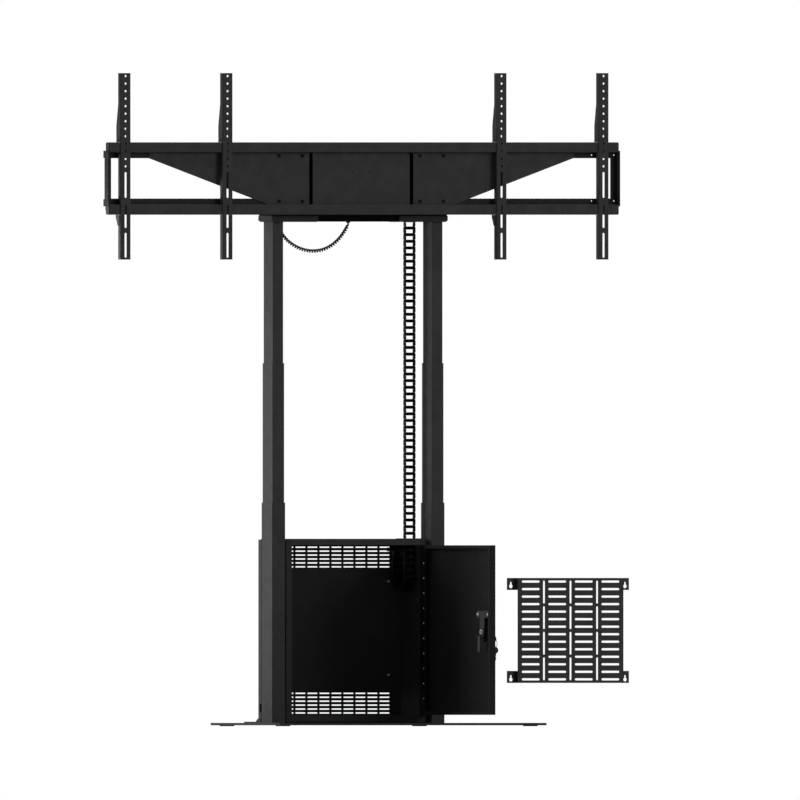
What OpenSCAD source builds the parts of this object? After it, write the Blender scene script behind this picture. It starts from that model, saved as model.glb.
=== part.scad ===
// Two-column television lift for two screens side by side, shown fully raised.
// Millimetres. +X is to the right, +Y to the back, +Z up, z = 0 is the floor.
// Places in Y are counted from the columns' axis plane; on_frame() moves them to the part's frame.

/* [Base] */
// Width of the base plate at its front edge
base_front_w = 1006; // [900:1:1100]
// Width of the base plate at its back edge
base_back_w = 800; // [780:1:900]
// Reach of the base plate in front of the columns' axis
base_front = 424; // [400:1:480]
// Reach of the base plate behind the columns' axis
base_back = 256; // [240:1:300]
// Thickness of the base plate
base_t = 8; // [6:1:12]
// Diameter of a floor foot
foot_d = 49; // [40:1:60]
// Height of a floor foot
foot_h = 3; // [3:1:12]
// Distance between the two front feet
foot_front_span = 932; // [860:1:936]
// Distance between the two back feet
foot_back_span = 725; // [700:1:730]
// Distance of each foot from the front or back edge
foot_inset = 45; // [40:1:60]

/* [Columns] */
// Distance between the two columns' axes
col_pitch = 600; // [596:1:620]
// Width of the outer tube, from side to side
outer_w = 50; // [49:0.5:53]
// Depth of the outer tube, from front to back
outer_d = 77; // [75:0.5:82]
// Wall of every tube
tube_wall = 1.5; // [1.2:0.1:2]
// Corner radius of the outer tube
tube_r = 3; // [2.8:0.1:4]
// Space between one tube and the next
glide_gap = 1.1; // [1:0.05:1.4]
// Running clearance of a glide
glide_clear = 0.15; // [0.1:0.05:0.3]
// Height of a glide ring
glide_h = 40; // [25:1:60]
// Height of the top of the outer tubes
outer_top = 743; // [735:1:760]
// Height of the top of the middle tubes, raised
mid_top = 1207; // [1195:1:1215]
// Height of the top of the inner tubes, raised
inner_top = 1676; // [1660:1:1690]
// Length of a middle tube
mid_len = 715; // [650:1:720]
// Length of an inner tube
inner_len = 720; // [650:1:725]

/* [Drive] */
// Diameter of the fixed lower screw
screw_d = 12; // [11:0.5:13]
// Outer diameter of the turning spindle
spindle_d = 20; // [18:0.5:22]
// Diameter of the motor's shaft
shaft_d = 8; // [6:0.5:8.5]
// Diameter of the motor
motor_d = 30; // [26:1:30]
// Length of the motor with its gearbox
motor_len = 150; // [120:1:180]
// Radial running clearance of the drive
drive_clear = 0.1; // [0.05:0.01:0.2]

/* [Holders] */
// Depth of the channel behind an outer tube
holder_d = 24; // [20:1:40]
// Height of the channel
holder_top = 620; // [500:1:700]
// Reach of the foot behind the channel
holder_foot = 98; // [80:1:120]
// Sheet of the holders
holder_t = 3; // [2:0.5:4]

/* [Cabinet] */
// Width of the cabinet
cab_w = 524; // [510:1:530]
// Reach of the cabinet in front of the columns' axis
cab_front = 20; // [10:1:30]
// Reach of the cabinet behind the columns' axis
cab_back = 161; // [150:1:200]
// Distance from the cabinet's underside up to the door's lower edge
cab_under = 23.5; // [15:0.5:25]
// Distance from the door's upper edge up to the cabinet's top
cab_over = 21.5; // [15:0.5:25]
// Sheet of the cabinet
sheet = 1.5; // [1:0.1:2]
// Width of the front lips at the sides
lip_side = 21; // [18:1:22]
// Set-back of the plinth under the cabinet
plinth_in = 14; // [8:1:30]
// Length of a vent slot
vent_len = 37; // [25:1:40]
// Height of a vent slot
vent_h = 4.2; // [3.5:0.1:7]
// Distance between vent columns
vent_pitch_x = 45.2; // [42:0.1:47]
// Distance between vent rows
vent_pitch_z = 13.06; // [11:0.01:14]
// Number of vent columns
vent_cols = 10; // [4:1:10]
// Number of vent rows in each field
vent_rows = 6; // [2:1:6]
// Distance of the outermost vent rows from the height of the door's edges
vent_edge = 6.5; // [4:0.5:20]

/* [Door] */
// Width of the door, from the hinge axis to the free edge
door_w = 487; // [480:1:496]
// Height of the door's lower edge above the floor
door_low = 37.5; // [37:0.5:45]
// Height of the door
door_h = 564; // [540:1:600]
// Depth of the door
door_d = 22.5; // [20:0.5:24]
// Width of the lips around the inside of the door
door_lip = 11; // [8:1:14]
// Sheet of the door
door_sheet = 1.2; // [1:0.1:2]
// Radius of the hinge knuckles
hinge_r = 2.6; // [2.4:0.1:3]
// Diameter of the hinge pin
pin_d = 2.4; // [2:0.1:2.8]
// Width of the hinge leaf on the door
leaf_w = 30; // [28:1:34]
// Thickness of a hinge leaf
leaf_t = 1.2; // [1:0.1:1.4]
// Number of knuckles along the hinge
knuckles = 11; // [5:2:15]
// Number of hinge rivets
rivets = 10; // [5:1:11]
// Distance between hinge rivets
rivet_pitch = 50; // [40:1:52]
// Distance of the lock from the free edge
lock_edge = 63; // [58:1:64]
// Height of the handle's axis
lock_z = 314; // [300:1:330]
// Distance of the lock plug below the handle's axis
plug_drop = 24; // [24:1:30]
// Length of the latch cam from its axis to its tip
cam_len = 68; // [66:1:72]

/* [Head] */
// Distance of a head bracket's inner end from the centre plane
bracket_in = 155; // [140:1:170]
// Distance of a head bracket's outer end from the centre plane
bracket_out = 331.5; // [329:0.5:350]
// Reach of the head brackets in front of the columns' axis
bracket_front = 47.5; // [42:0.5:50]
// Reach of the head brackets behind the columns' axis
bracket_back = 47.5; // [47:0.5:60]
// Height of a head bracket
bracket_h = 20.5; // [18:0.5:22]
// Sheet of the head brackets and the cross channel
bracket_t = 2.5; // [2:0.5:3]
// Reach of the cross channel in front of the columns' axis
cross_front = 30; // [20:1:40]
// Reach of the cross channel behind the columns' axis
cross_back = 44; // [38:1:46]

/* [Screen frame] */
// Length of the rails
rail_len = 1921; // [1880:1:1980]
// Height of a rail
rail_h = 34; // [30:1:36]
// Depth of a rail
rail_d = 23; // [20:0.5:26]
// Sheet of the rails
rail_t = 2; // [1.5:0.5:2.5]
// Distance of the rails' back from the columns' axis
rail_back = 55; // [54:1:60]
// Gap between the head brackets and the lower rail
rail_gap = 3.5; // [2:0.5:5]
// Distance between the undersides of the two rails
rail_rise = 207; // [200:1:215]
// Sheet of the wings, the centre plate, the uprights and the side frames
plate_t = 3; // [2:0.5:4]
// Width of the centre plate
centre_w = 365; // [300:1:370]
// Distance of a wing's inner edge from the centre plane
wing_in = 196; // [190:1:199]
// Distance of a wing's tip from the rails' end
wing_end = 158.5; // [130:0.5:200]
// Height of a wing's tip
wing_tip_h = 18; // [12:1:40]
// Distance from the centre plane where a wing's lower edge reaches the lower rail
wing_low = 350; // [330:1:400]
// Distance of an upright's inner side from the centre plane
upright_in = 200; // [198:1:205]
// Distance of an upright's outer side from the centre plane
upright_out = 325; // [320:1:326]

/* [Screen arms] */
// Length of a screen arm
arm_len = 620; // [600:1:640]
// Reach of the arms below the lower rail
arm_drop = 149; // [148:1:160]
// Width of a screen arm
arm_w = 38.4; // [34:0.1:40]
// Depth of a screen arm's sides
arm_d = 17.5; // [14:0.5:18]
// Sheet of the screen arms
arm_t = 2; // [1.5:0.5:2.5]
// Distance of the outer arms from the rails' ends
arm_end = 60.5; // [58:0.5:100]
// Distance between the outer and the inner arm on each side
arm_pitch = 384; // [340:1:390]
// Distance of the arms' front from the rails' front
arm_step = 4; // [3.5:0.5:6]
// Diameter of the screen holes
hole_d = 7.5; // [5:0.5:9]
// Distance between screen holes
hole_pitch = 25; // [20:1:25]
// Number of screen holes in an arm
hole_count = 13; // [5:1:13]
// Width of the screen slots
slot_w = 8; // [6:0.5:10]
// Room between an arm and the rails
arm_clear = 0.3; // [0.2:0.05:0.5]

/* [Cable chain] */
// Distance between two pivots of the chain
link_pitch = 22.06; // [21.5:0.01:22.2]
// Clear width inside a link
link_in = 30.8; // [29:0.1:32]
// Depth of a link
link_d = 15; // [12:0.5:15.5]
// Thickness of a link's side plate
link_t = 1.7; // [1.5:0.1:2.4]
// Clearance between two side plates
link_clear = 0.15; // [0.1:0.05:0.2]
// Number of links in the half turn
bend_links = 6; // [6:1:7]
// Number of links in the moving run
run_links = 53; // [52:1:53]
// Number of links in the fixed run
fixed_links = 3; // [2:1:3]
// Distance of the chain from the centre plane
chain_x = 229; // [225:1:231]
// Distance of the moving run behind the columns' axis
chain_y = 31.5; // [30:0.5:34]

/* [Curly cord] */
// Diameter of the cord
cord_d = 4.4; // [3:0.1:4.5]
// Outer diameter of the curls
curl_d = 12; // [11:0.1:13]
// Number of curls
curls = 50; // [36:1:52]
// Diameter of a cord gland
gland_d = 15; // [13:0.5:18]
// Height of a cord gland
gland_h = 4; // [4:1:10]

/* [Equipment panel] */
// Width of the panel's front
panel_w = 398; // [360:1:410]
// Height of the panel's front
panel_h = 349; // [320:1:360]
// Distance of the panel's tabs behind its front
panel_d = 20; // [12:1:25]
// Distance between the keyholes from side to side
key_span_x = 430; // [426:1:436]
// Distance between the keyholes from top to bottom
key_span_z = 310; // [290:1:312]
// Place of the panel's centre to the right of the centre plane
panel_x = 724; // [720:1:730]
// Distance of the panel's front in front of the columns' axis
panel_front = 179; // [170:1:200]
// Height of the studs' centre, where the panel hangs
panel_z = 326; // [320:1:340]
// Drop of the panel below that height, set beside the lift
panel_drop = 7.7; // [0:0.1:12]

/* [Hidden] */
$fn = 32;
SIDES = [-1, 1];
eps = 0.01;

// Heights that follow from each other
base_top = foot_h + base_t;
mid_bottom = mid_top - mid_len;
inner_bottom = inner_top - inner_len;
head_top = inner_top + bracket_h;
low_rail_z = head_top + rail_gap;
low_rail_top = low_rail_z + rail_h;
top_rail_z = low_rail_z + rail_rise;
top_rail_top = top_rail_z + rail_h;
arm_z = low_rail_z - arm_drop;
door_z = door_low;
cab_bottom = door_low - cab_under;
cab_top = door_low + door_h + cab_over;
door_mid = door_low + door_h / 2;

// Tube sizes of the inner stages, and the free space inside each tube
stage_step = 2 * (tube_wall + glide_gap);
mid_w = outer_w - stage_step;
mid_d = outer_d - stage_step;
inner_w = mid_w - stage_step;
inner_d = mid_d - stage_step;
mid_r = tube_r - 0.3;
inner_r = mid_r - 0.3;

// Hinge axis of the door, and planes of the closed door counted from it
hinge_x = door_w / 2;
hinge_gap = 0.3;
hinge_front = cab_front + hinge_r + hinge_gap;
door_in = hinge_r - leaf_t;
door_out = door_in - door_d;
lock_x = -door_w + lock_edge;

// The part's frame: midway between the open door's tip and the base plate's back edge
frame_y = (hinge_front + door_w - base_back) / 2;

// Planes of the screen frame in front of the columns' axis
rail_front = rail_back + rail_d;
plate_front = rail_back + plate_t;
arm_seat = rail_front + arm_clear;
arm_front = arm_seat + arm_step;
arm_back = arm_front - arm_d;

// Places along the rails, counted from the centre plane
wing_tip = rail_len / 2 - wing_end;
arm_outer = rail_len / 2 - arm_end;
arm_inner = arm_outer - arm_pitch;

// The chain's half turn, its pivots' circle and its levels
bend_step = 180 / bend_links;
bend_r = link_pitch / 2 / sin(bend_step / 2);
chain_back_y = chain_y + 2 * bend_r;
chain_anchor_h = link_d / 2 + 1.5;
chain_top_z = inner_top - chain_anchor_h;
bend_z = chain_top_z - run_links * link_pitch;
chain_end_z = bend_z + fixed_links * link_pitch;

// Colours as the photograph shows them
coat = [0.17, 0.17, 0.18];
coat_dark = [0.1, 0.1, 0.105];
plastic = [0.06, 0.06, 0.065];
steel = [0.72, 0.72, 0.74];

// Shared shapes

module on_frame() { translate([0, frame_y, 0]) children(); }

module at_column(side) { translate([side * col_pitch / 2, 0, 0]) children(); }

// A box from its lowest to its highest corner
module block(low, high) { translate(low) cube(high - low); }

// Rounded rectangle about the origin
module rounded(w, h, r) {
    square([w - 2 * r, h], center = true);
    square([w, h - 2 * r], center = true);
    for (x = SIDES, y = SIDES) translate([x * (w / 2 - r), y * (h / 2 - r)]) circle(r);
}

// Slot with round ends, along X, by its whole length and its width
module slot(length, width) {
    square([length - width, width], center = true);
    for (x = SIDES) translate([x * (length - width) / 2, 0]) circle(width / 2);
}

// Channel open to +X: back of the bend at x = 0
module channel(depth, h, t, r) {
    intersection() {
        translate([0, -h / 2]) square([depth, h]);
        difference() {
            translate([depth, 0]) rounded(2 * depth, h, r);
            translate([depth, 0]) rounded(2 * (depth - t), h - 2 * t, r - t);
        }
    }
}

module tube(w, d, r, wall, length) {
    linear_extrude(length) difference() {
        rounded(w, d, r);
        rounded(w - 2 * wall, d - 2 * wall, r - wall);
    }
}

// Ring between an inside and an outside rounded rectangle, grown or shrunk by its clearances
module ring(w_out, d_out, r_out, w_in, d_in, r_in, length) {
    linear_extrude(length) difference() {
        rounded(w_out, d_out, r_out);
        rounded(w_in, d_in, r_in);
    }
}

// Upright plate in X and Z from its outline, its front at -front and t thick
module front_plate(front, t) {
    translate([0, -front + t, 0]) rotate([90, 0, 0]) linear_extrude(t) children();
}

// Side plate in Y and Z from its outline, its lower X face at x and t thick
module side_plate(x, t) { translate([x, 0, 0]) rotate([90, 0, 90]) linear_extrude(t) children(); }

// Hole or rod along Y through a given place
module along_y(x, y, z, r, length) { translate([x, y, z]) rotate([-90, 0, 0]) cylinder(r = r, h = length); }

// Base

module base_plate() {
    color(coat) on_frame() difference() {
        translate([0, 0, foot_h]) linear_extrude(base_t) polygon([
            [-base_front_w / 2, -base_front], [base_front_w / 2, -base_front],
            [base_back_w / 2, base_back], [-base_back_w / 2, base_back]
        ]);
        for (side = SIDES) at_column(side) holder_bolt_places()
            translate([0, 0, foot_h - eps]) cylinder(r = bolt_d / 2 + bolt_clear, h = base_t + 1);
    }
}

module floor_feet() {
    rim = 1;
    color(plastic) on_frame() for (side = SIDES) {
        front_foot = [foot_front_span / 2, foot_inset - base_front];
        back_foot = [foot_back_span / 2, base_back - foot_inset];
        for (place = [front_foot, back_foot])
            translate([side * place[0], place[1], 0]) {
                cylinder(r1 = foot_d / 2 - rim, r2 = foot_d / 2, h = rim);
                translate([0, 0, rim]) cylinder(d = foot_d, h = foot_h - rim);
            }
    }
}

// Columns

module outer_tubes() {
    color(coat) on_frame() for (side = SIDES) at_column(side) translate([0, 0, base_top])
        tube(outer_w, outer_d, tube_r, tube_wall, outer_top - base_top);
}

module mid_tubes() {
    color(coat) on_frame() for (side = SIDES) at_column(side) translate([0, 0, mid_bottom])
        tube(mid_w, mid_d, mid_r, tube_wall, mid_len);
}

module inner_tubes() {
    color(coat) on_frame() for (side = SIDES) at_column(side) translate([0, 0, inner_bottom])
        tube(inner_w, inner_d, inner_r, tube_wall, inner_len);
}

// Guide ring in the mouth of a larger tube, around the next smaller one
seat_gap = 0.05;
module mouth_glide(w, d, r, next_w, next_d, next_r, top) {
    translate([0, 0, top - glide_h]) ring(
        w - 2 * (tube_wall + seat_gap), d - 2 * (tube_wall + seat_gap), r - tube_wall,
        next_w + 2 * glide_clear, next_d + 2 * glide_clear, next_r + glide_clear, glide_h);
}

module outer_glides() {
    color(plastic) on_frame() for (side = SIDES) at_column(side)
        mouth_glide(outer_w, outer_d, tube_r, mid_w, mid_d, mid_r, outer_top);
}

// Rings in the mouth and around the lower end of each middle tube
module mid_glides() {
    color(plastic) on_frame() for (side = SIDES) at_column(side) {
        mouth_glide(mid_w, mid_d, mid_r, inner_w, inner_d, inner_r, mid_top);
        translate([0, 0, mid_bottom]) ring(
            mid_w + 2 * (glide_gap - glide_clear), mid_d + 2 * (glide_gap - glide_clear), mid_r + 0.3,
            mid_w + 2 * seat_gap, mid_d + 2 * seat_gap, mid_r + seat_gap, glide_h);
    }
}

// Drive in each column: hollow fixed screw, turning spindle with its nut end, plate, nut and motor

spindle_plate_t = 8;
spindle_nut_h = 13;
spindle_collar_d = 26;
spindle_journal_d = 16;
spindle_cap_h = 12;
spindle_low = mid_bottom - spindle_nut_h;
spindle_top = inner_bottom + 20;
axial_play = 0.3;
shaft_reach = 2;
screw_reach = 18;

module lower_screws() {
    screw_foot_d = 30;
    screw_foot_h = 6;
    color(steel) on_frame() for (side = SIDES) at_column(side) difference() {
        union() {
            translate([0, 0, base_top]) cylinder(d = screw_foot_d, h = screw_foot_h);
            translate([0, 0, base_top]) cylinder(d = screw_d, h = mid_bottom + screw_reach - base_top);
        }
        translate([0, 0, base_top + screw_foot_h]) cylinder(r = shaft_d / 2 + 3 * drive_clear, h = mid_len);
    }
}

module spindle_plates() {
    color(plastic) on_frame() for (side = SIDES) at_column(side) translate([0, 0, mid_bottom]) difference() {
        linear_extrude(spindle_plate_t) rounded(
            mid_w - 2 * (tube_wall + seat_gap), mid_d - 2 * (tube_wall + seat_gap), mid_r - tube_wall);
        translate([0, 0, -eps]) cylinder(r = spindle_journal_d / 2 + drive_clear, h = spindle_plate_t + 1);
    }
}

module spindle(side) {
    color(steel) on_frame() at_column(side) difference() {
        union() {
            translate([0, 0, spindle_low]) cylinder(d = spindle_collar_d, h = spindle_nut_h - axial_play);
            translate([0, 0, spindle_low])
                cylinder(d = spindle_journal_d, h = spindle_nut_h + spindle_plate_t + 1);
            translate([0, 0, mid_bottom + spindle_plate_t + axial_play])
                cylinder(d = spindle_d, h = spindle_top - mid_bottom - spindle_plate_t - axial_play);
        }
        translate([0, 0, spindle_low - eps])
            cylinder(r = screw_d / 2 + drive_clear, h = spindle_top - spindle_cap_h - spindle_low);
        translate([0, 0, spindle_low]) cylinder(r = shaft_d / 2 + drive_clear, h = mid_len);
    }
}

module spindle_left() { spindle(-1); }
module spindle_right() { spindle(1); }

module spindle_nuts() {
    lip_h = 4;
    plug_h = 25;
    wall = tube_wall + seat_gap;
    color(plastic) on_frame() for (side = SIDES) at_column(side)
        translate([0, 0, inner_bottom]) difference() {
        union() {
            linear_extrude(plug_h) rounded(inner_w - 2 * wall, inner_d - 2 * wall, inner_r - tube_wall);
            translate([0, 0, -lip_h]) linear_extrude(lip_h) rounded(
                inner_w + 2 * (glide_gap - glide_clear), inner_d + 2 * (glide_gap - glide_clear), inner_r);
        }
        translate([0, 0, -lip_h - eps]) cylinder(r = spindle_d / 2 + drive_clear, h = lip_h + plug_h + 1);
    }
}

module drive_motors() {
    gearbox_len = 58;
    gearbox_d = motor_d - 2;
    flange_t = 6;
    color(steel) on_frame() for (side = SIDES) at_column(side) {
        translate([0, 0, inner_top - flange_t]) linear_extrude(flange_t) rounded(
            inner_w - 2 * (tube_wall + seat_gap), inner_d - 2 * (tube_wall + seat_gap), inner_r - tube_wall);
        translate([0, 0, inner_top - motor_len + gearbox_len])
            cylinder(d = motor_d, h = motor_len - gearbox_len - eps);
        translate([0, 0, inner_top - motor_len]) cylinder(d = gearbox_d, h = gearbox_len);
        translate([0, 0, spindle_top - spindle_cap_h - shaft_reach])
            cylinder(d = shaft_d, h = inner_top - motor_len - spindle_top + spindle_cap_h + shaft_reach + 1);
    }
}

// Holders behind the outer tubes

bolt_d = 8;
bolt_clear = 0.25;
bolt_head_d = 14;
bolt_head_h = 3;
holder_foot_t = 4;
holder_back = outer_d / 2 + holder_d;
bolt_gauge = 28;
bolt_first = 40;
bolt_pitch = 40;

module holder_bolt_places() {
    for (x = SIDES, row = [0, 1])
        translate([x * bolt_gauge / 2, holder_back + bolt_first + row * bolt_pitch, 0]) children();
}

module column_holders() {
    gusset = 17;
    gusset_h = 11;
    slot_h = 31;
    slot_wide = 12;
    slot_back = 20;
    slot_mid_z = 60;
    small_h = 11;
    small_wide = 5;
    small_mid_z = 20;
    color(coat) on_frame() for (side = SIDES) at_column(side) difference() {
        union() {
            translate([0, holder_back, base_top]) linear_extrude(holder_top - base_top) rotate(-90)
                channel(holder_d, outer_w, holder_t, holder_t + 1);
            block([-outer_w / 2, holder_back - holder_t, base_top],
                [outer_w / 2, holder_back + holder_foot, base_top + holder_foot_t]);
            for (x = [-outer_w / 2, outer_w / 2 - holder_t]) side_plate(x, holder_t) polygon([
                [holder_back - holder_t - 1, base_top], [holder_back + gusset, base_top],
                [holder_back + gusset, base_top + holder_foot_t],
                [holder_back, base_top + holder_foot_t + gusset_h],
                [holder_back - holder_t - 1, base_top + holder_foot_t + gusset_h]
            ]);
        }
        for (hole = [[slot_h, slot_wide, slot_mid_z], [small_h, small_wide, small_mid_z]])
            side_plate(-outer_w, 2 * outer_w) translate([holder_back - slot_back, hole[2]]) rotate(90)
                slot(hole[0], hole[1]);
        holder_bolt_places() {
            translate([0, 0, base_top - eps]) cylinder(r = bolt_d / 2 + bolt_clear, h = holder_foot_t + 1);
            translate([0, 0, base_top + holder_foot_t - bolt_head_h])
                cylinder(r = bolt_head_d / 2 + bolt_clear, h = bolt_head_h + 1);
        }
    }
}

module holder_bolts() {
    socket_d = 6;
    socket_h = 1.8;
    color(steel) on_frame() for (side = SIDES) at_column(side) holder_bolt_places() difference() {
        union() {
            translate([0, 0, base_top + holder_foot_t - bolt_head_h])
                cylinder(d = bolt_head_d, h = bolt_head_h);
            translate([0, 0, foot_h]) cylinder(d = bolt_d, h = base_t + holder_foot_t - bolt_head_h + eps);
        }
        translate([0, 0, base_top + holder_foot_t - socket_h])
            cylinder(d = socket_d, h = socket_h + 1, $fn = 6);
    }
}

// Cabinet

collar_w = 64;
collar_l = 76;
collar_wall = 8;
collar_mid_y = chain_y;
collar_flange_h = 1.5;

module collar_opening(extra) {
    rounded(collar_w - 2 * collar_wall + extra, collar_l - 2 * collar_wall + extra, 4);
}

cab_flange = 12;
cab_half = cab_w / 2;
cab_wall_in = cab_half - sheet;
lip_in = cab_half - lip_side;
flange_in = cab_half - cab_flange;
lip_back = sheet - cab_front;
flange_front = cab_back - 2 * sheet;
flange_back = cab_back - sheet;
lip_gap = 0.5;

// Folded side walls, each with a front lip and a flange that holds the back wall
module cabinet_sides() {
    color(coat) on_frame() for (side = SIDES) mirror([side < 0 ? 1 : 0, 0, 0]) {
        block([cab_wall_in, -cab_front, cab_bottom], [cab_half, cab_back, cab_top]);
        block([lip_in, -cab_front, cab_bottom], [cab_half, lip_back, cab_top]);
        block([flange_in, flange_front, cab_bottom], [cab_half, flange_back, cab_top]);
    }
}

// Folded top between the side walls, open where the cable chain comes in
module cabinet_top() {
    color(coat) on_frame() difference() {
        union() {
            block([-cab_wall_in, lip_back, cab_top - sheet], [cab_wall_in, flange_front, cab_top]);
            block([-lip_in, -cab_front, cab_top - cab_over + lip_gap], [lip_in, lip_back, cab_top]);
            block([-flange_in, flange_front, cab_top - cab_flange], [flange_in, flange_back, cab_top]);
        }
        translate([chain_x, collar_mid_y, cab_top - 2 * sheet]) linear_extrude(3 * sheet)
            collar_opening(2 * bolt_clear);
    }
}

// Folded floor between the side walls, on a plinth that stands on the base plate
module cabinet_floor() {
    plinth_x = cab_half - plinth_in;
    color(coat) on_frame() {
        block([-cab_wall_in, lip_back, cab_bottom], [cab_wall_in, flange_front, cab_bottom + sheet]);
        block([-lip_in, -cab_front, cab_bottom], [lip_in, lip_back, cab_bottom + cab_under - lip_gap]);
        block([-flange_in, flange_front, cab_bottom], [flange_in, flange_back, cab_bottom + cab_flange]);
        block([-plinth_x, plinth_in - cab_front, base_top],
            [plinth_x, cab_back - plinth_in, cab_bottom + sheet / 2]);
    }
}

module cabinet_back() {
    gap = 0.2;
    half_w = cab_wall_in - gap;
    color(coat_dark) on_frame() front_plate(-cab_back + sheet, sheet) difference() {
        translate([-half_w, cab_bottom + gap]) square([2 * half_w, cab_top - cab_bottom - 2 * gap]);
        for (col = [0 : vent_cols - 1], row = [0 : vent_rows - 1], field = SIDES)
            translate([(col - (vent_cols - 1) / 2) * vent_pitch_x,
                door_mid + field * (door_h / 2 - vent_edge - row * vent_pitch_z)])
                square([vent_len, vent_h], center = true);
    }
}

stud_d = 4.5;
stud_head_d = 8;
stud_head_h = 3;
stud_neck = 4;

module panel_studs() {
    color(steel) on_frame() for (x = SIDES, z = SIDES) {
        back = cab_back - sheet;
        translate([x * key_span_x / 2, back - stud_neck, panel_z + z * key_span_z / 2]) {
            along_y(0, -stud_head_h, 0, stud_head_d / 2, stud_head_h);
            along_y(0, -1, 0, stud_d / 2, stud_neck + 1);
        }
    }
}

module cabinet_spacers() {
    spacer_d = 22;
    low_z = 120;
    high_z = 520;
    length = col_pitch / 2 - outer_w / 2 - cab_w / 2;
    color(coat_dark) on_frame() for (side = SIDES, z = [low_z, high_z])
        translate([side * (cab_half + length / 2), 0, z]) rotate([0, 90, 0])
            cylinder(d = spacer_d, h = length, center = true);
}

module chain_collar() {
    skirt = 1.6;
    color(plastic) on_frame() translate([chain_x, collar_mid_y, 0]) difference() {
        union() {
            translate([0, 0, cab_top]) linear_extrude(collar_flange_h) rounded(collar_w, collar_l, 6);
            translate([0, 0, cab_top - 2 * sheet]) linear_extrude(2 * sheet + 1) collar_opening(0);
        }
        translate([0, 0, cab_top - 3 * sheet]) linear_extrude(4 * sheet + collar_flange_h)
            collar_opening(-2 * skirt);
    }
}

// Cable chain: each link has inner side plates at its first pivot and outer ones at the next

link_half = link_in / 2;
link_outer = link_half + link_t + link_clear;
link_w = 2 * (link_outer + link_t);
link_pin_d = 7;
link_end_gap = 0.5;

// One link from the first pivot at the origin to the next at z = -link_pitch
module chain_link() {
    rail_half = link_d / 2 - 1;
    bar_h = 9.7;
    bar_t = 2;
    step_top = -link_d / 2 - link_end_gap;
    step_low = -link_pitch + link_d / 2 + link_end_gap;
    for (side = SIDES) mirror([side < 0 ? 1 : 0, 0, 0]) {
        side_plate(link_half, link_t) difference() {
            union() {
                circle(d = link_d);
                translate([-rail_half, step_low]) square([2 * rail_half, -step_low]);
            }
            circle(d = link_pin_d + 2 * link_clear);
        }
        side_plate(link_outer, link_t) union() {
            translate([0, -link_pitch]) circle(d = link_d);
            translate([-rail_half, -link_pitch]) square([2 * rail_half, link_pitch + step_top]);
        }
        block([link_half, -rail_half, step_low], [link_outer + link_t, rail_half, step_top]);
        translate([link_half + link_clear, 0, -link_pitch]) rotate([0, 90, 0])
            cylinder(d = link_pin_d, h = link_t + link_clear);
    }
    for (y = SIDES) translate([0, y * (link_d / 2 - bar_t / 2), -link_pitch / 2])
        cube([link_in + 1, bar_t, bar_h], center = true);
}

module chain_moving_run() {
    color(plastic) on_frame() for (i = [0 : run_links - 1])
        translate([chain_x, chain_y, chain_top_z - i * link_pitch]) chain_link();
}

module chain_bend() {
    color(plastic) on_frame() translate([chain_x, chain_y + bend_r, bend_z]) for (i = [0 : bend_links - 1])
        rotate([i * bend_step, 0, 0]) translate([0, -bend_r, 0]) rotate([bend_step / 2, 0, 0]) chain_link();
}

module chain_fixed_run() {
    color(plastic) on_frame() for (i = [0 : fixed_links - 1])
        translate([chain_x, chain_back_y, bend_z + i * link_pitch]) rotate([180, 0, 0]) chain_link();
}

// Fork under the right head bracket that holds the first link
module chain_anchor_head() {
    fork_t = 1.2;
    color(plastic) on_frame() translate([chain_x, chain_y, chain_top_z]) {
        translate([-link_w / 2, -link_d / 2, chain_anchor_h - fork_t]) cube([link_w, link_d, fork_t]);
        for (side = SIDES) mirror([side < 0 ? 1 : 0, 0, 0]) {
            side_plate(link_outer, link_t) union() {
                circle(d = link_d);
                translate([-link_d / 2 + 1, 0]) square([link_d - 2, chain_anchor_h]);
            }
            translate([link_half + link_clear, 0, 0]) rotate([0, 90, 0])
                cylinder(d = link_pin_d, h = link_t + link_clear);
        }
    }
}

// Tongue on the cabinet's back wall that holds the last link
module chain_anchor_fixed() {
    foot_t = 3;
    foot_h = 10;
    tongue_h = 20;
    back = cab_back - sheet - chain_back_y;
    color(plastic) on_frame() translate([chain_x, chain_back_y, chain_end_z]) {
        for (side = SIDES) mirror([side < 0 ? 1 : 0, 0, 0]) side_plate(link_half, link_t) difference() {
            union() {
                circle(d = link_d);
                translate([-link_d / 2 + 1, 0]) square([link_d - 2, tongue_h]);
            }
            circle(d = link_pin_d + 2 * link_clear);
        }
        reach = link_half + link_t;
        block([-reach, -link_d / 2 + 1, tongue_h - foot_t], [reach, back, tongue_h]);
        block([-reach, back - foot_t, tongue_h - foot_t], [reach, back, tongue_h + foot_h]);
    }
}

// Door and its hinge, drawn closed about the hinge axis: x = -door_w is the free edge, y < 0 is outside

module open_door() { on_frame() translate([hinge_x, -hinge_front, 0]) rotate([0, 0, 90]) children(); }

pin_clear = 0.06;
knuckle_gap = 0.3;
knuckle_len = door_h / knuckles;
leaf_off = hinge_r + 0.4;
door_edge = -hinge_r - 0.5;
rivet_x = -24;
rivet_drop = 2.5;
rivet_d = 3.2;
rivet_head_d = 6;
rivet_head_h = 1.2;
rivet_clear = 0.1;

module rivet_places() {
    for (i = [0 : rivets - 1])
        translate([rivet_x, 0, door_mid - rivet_drop + (i - (rivets - 1) / 2) * rivet_pitch]) children();
}

// One leaf along the hinge: knuckles with a given parity, plate from leaf_off to its width
module hinge_leaf(parity, width, y_low, y_high) {
    difference() {
        union() {
            block([leaf_off, y_low, door_z], [width, y_high, door_z + door_h]);
            for (i = [parity : 2 : knuckles - 1]) translate([0, 0, door_z + i * knuckle_len]) {
                cylinder(r = hinge_r, h = knuckle_len - knuckle_gap);
                block([0, y_low, 0], [leaf_off + 1, y_high, knuckle_len - knuckle_gap]);
            }
        }
        translate([0, 0, door_z - 1]) cylinder(r = pin_d / 2 + pin_clear, h = door_h + 2);
    }
}

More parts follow.
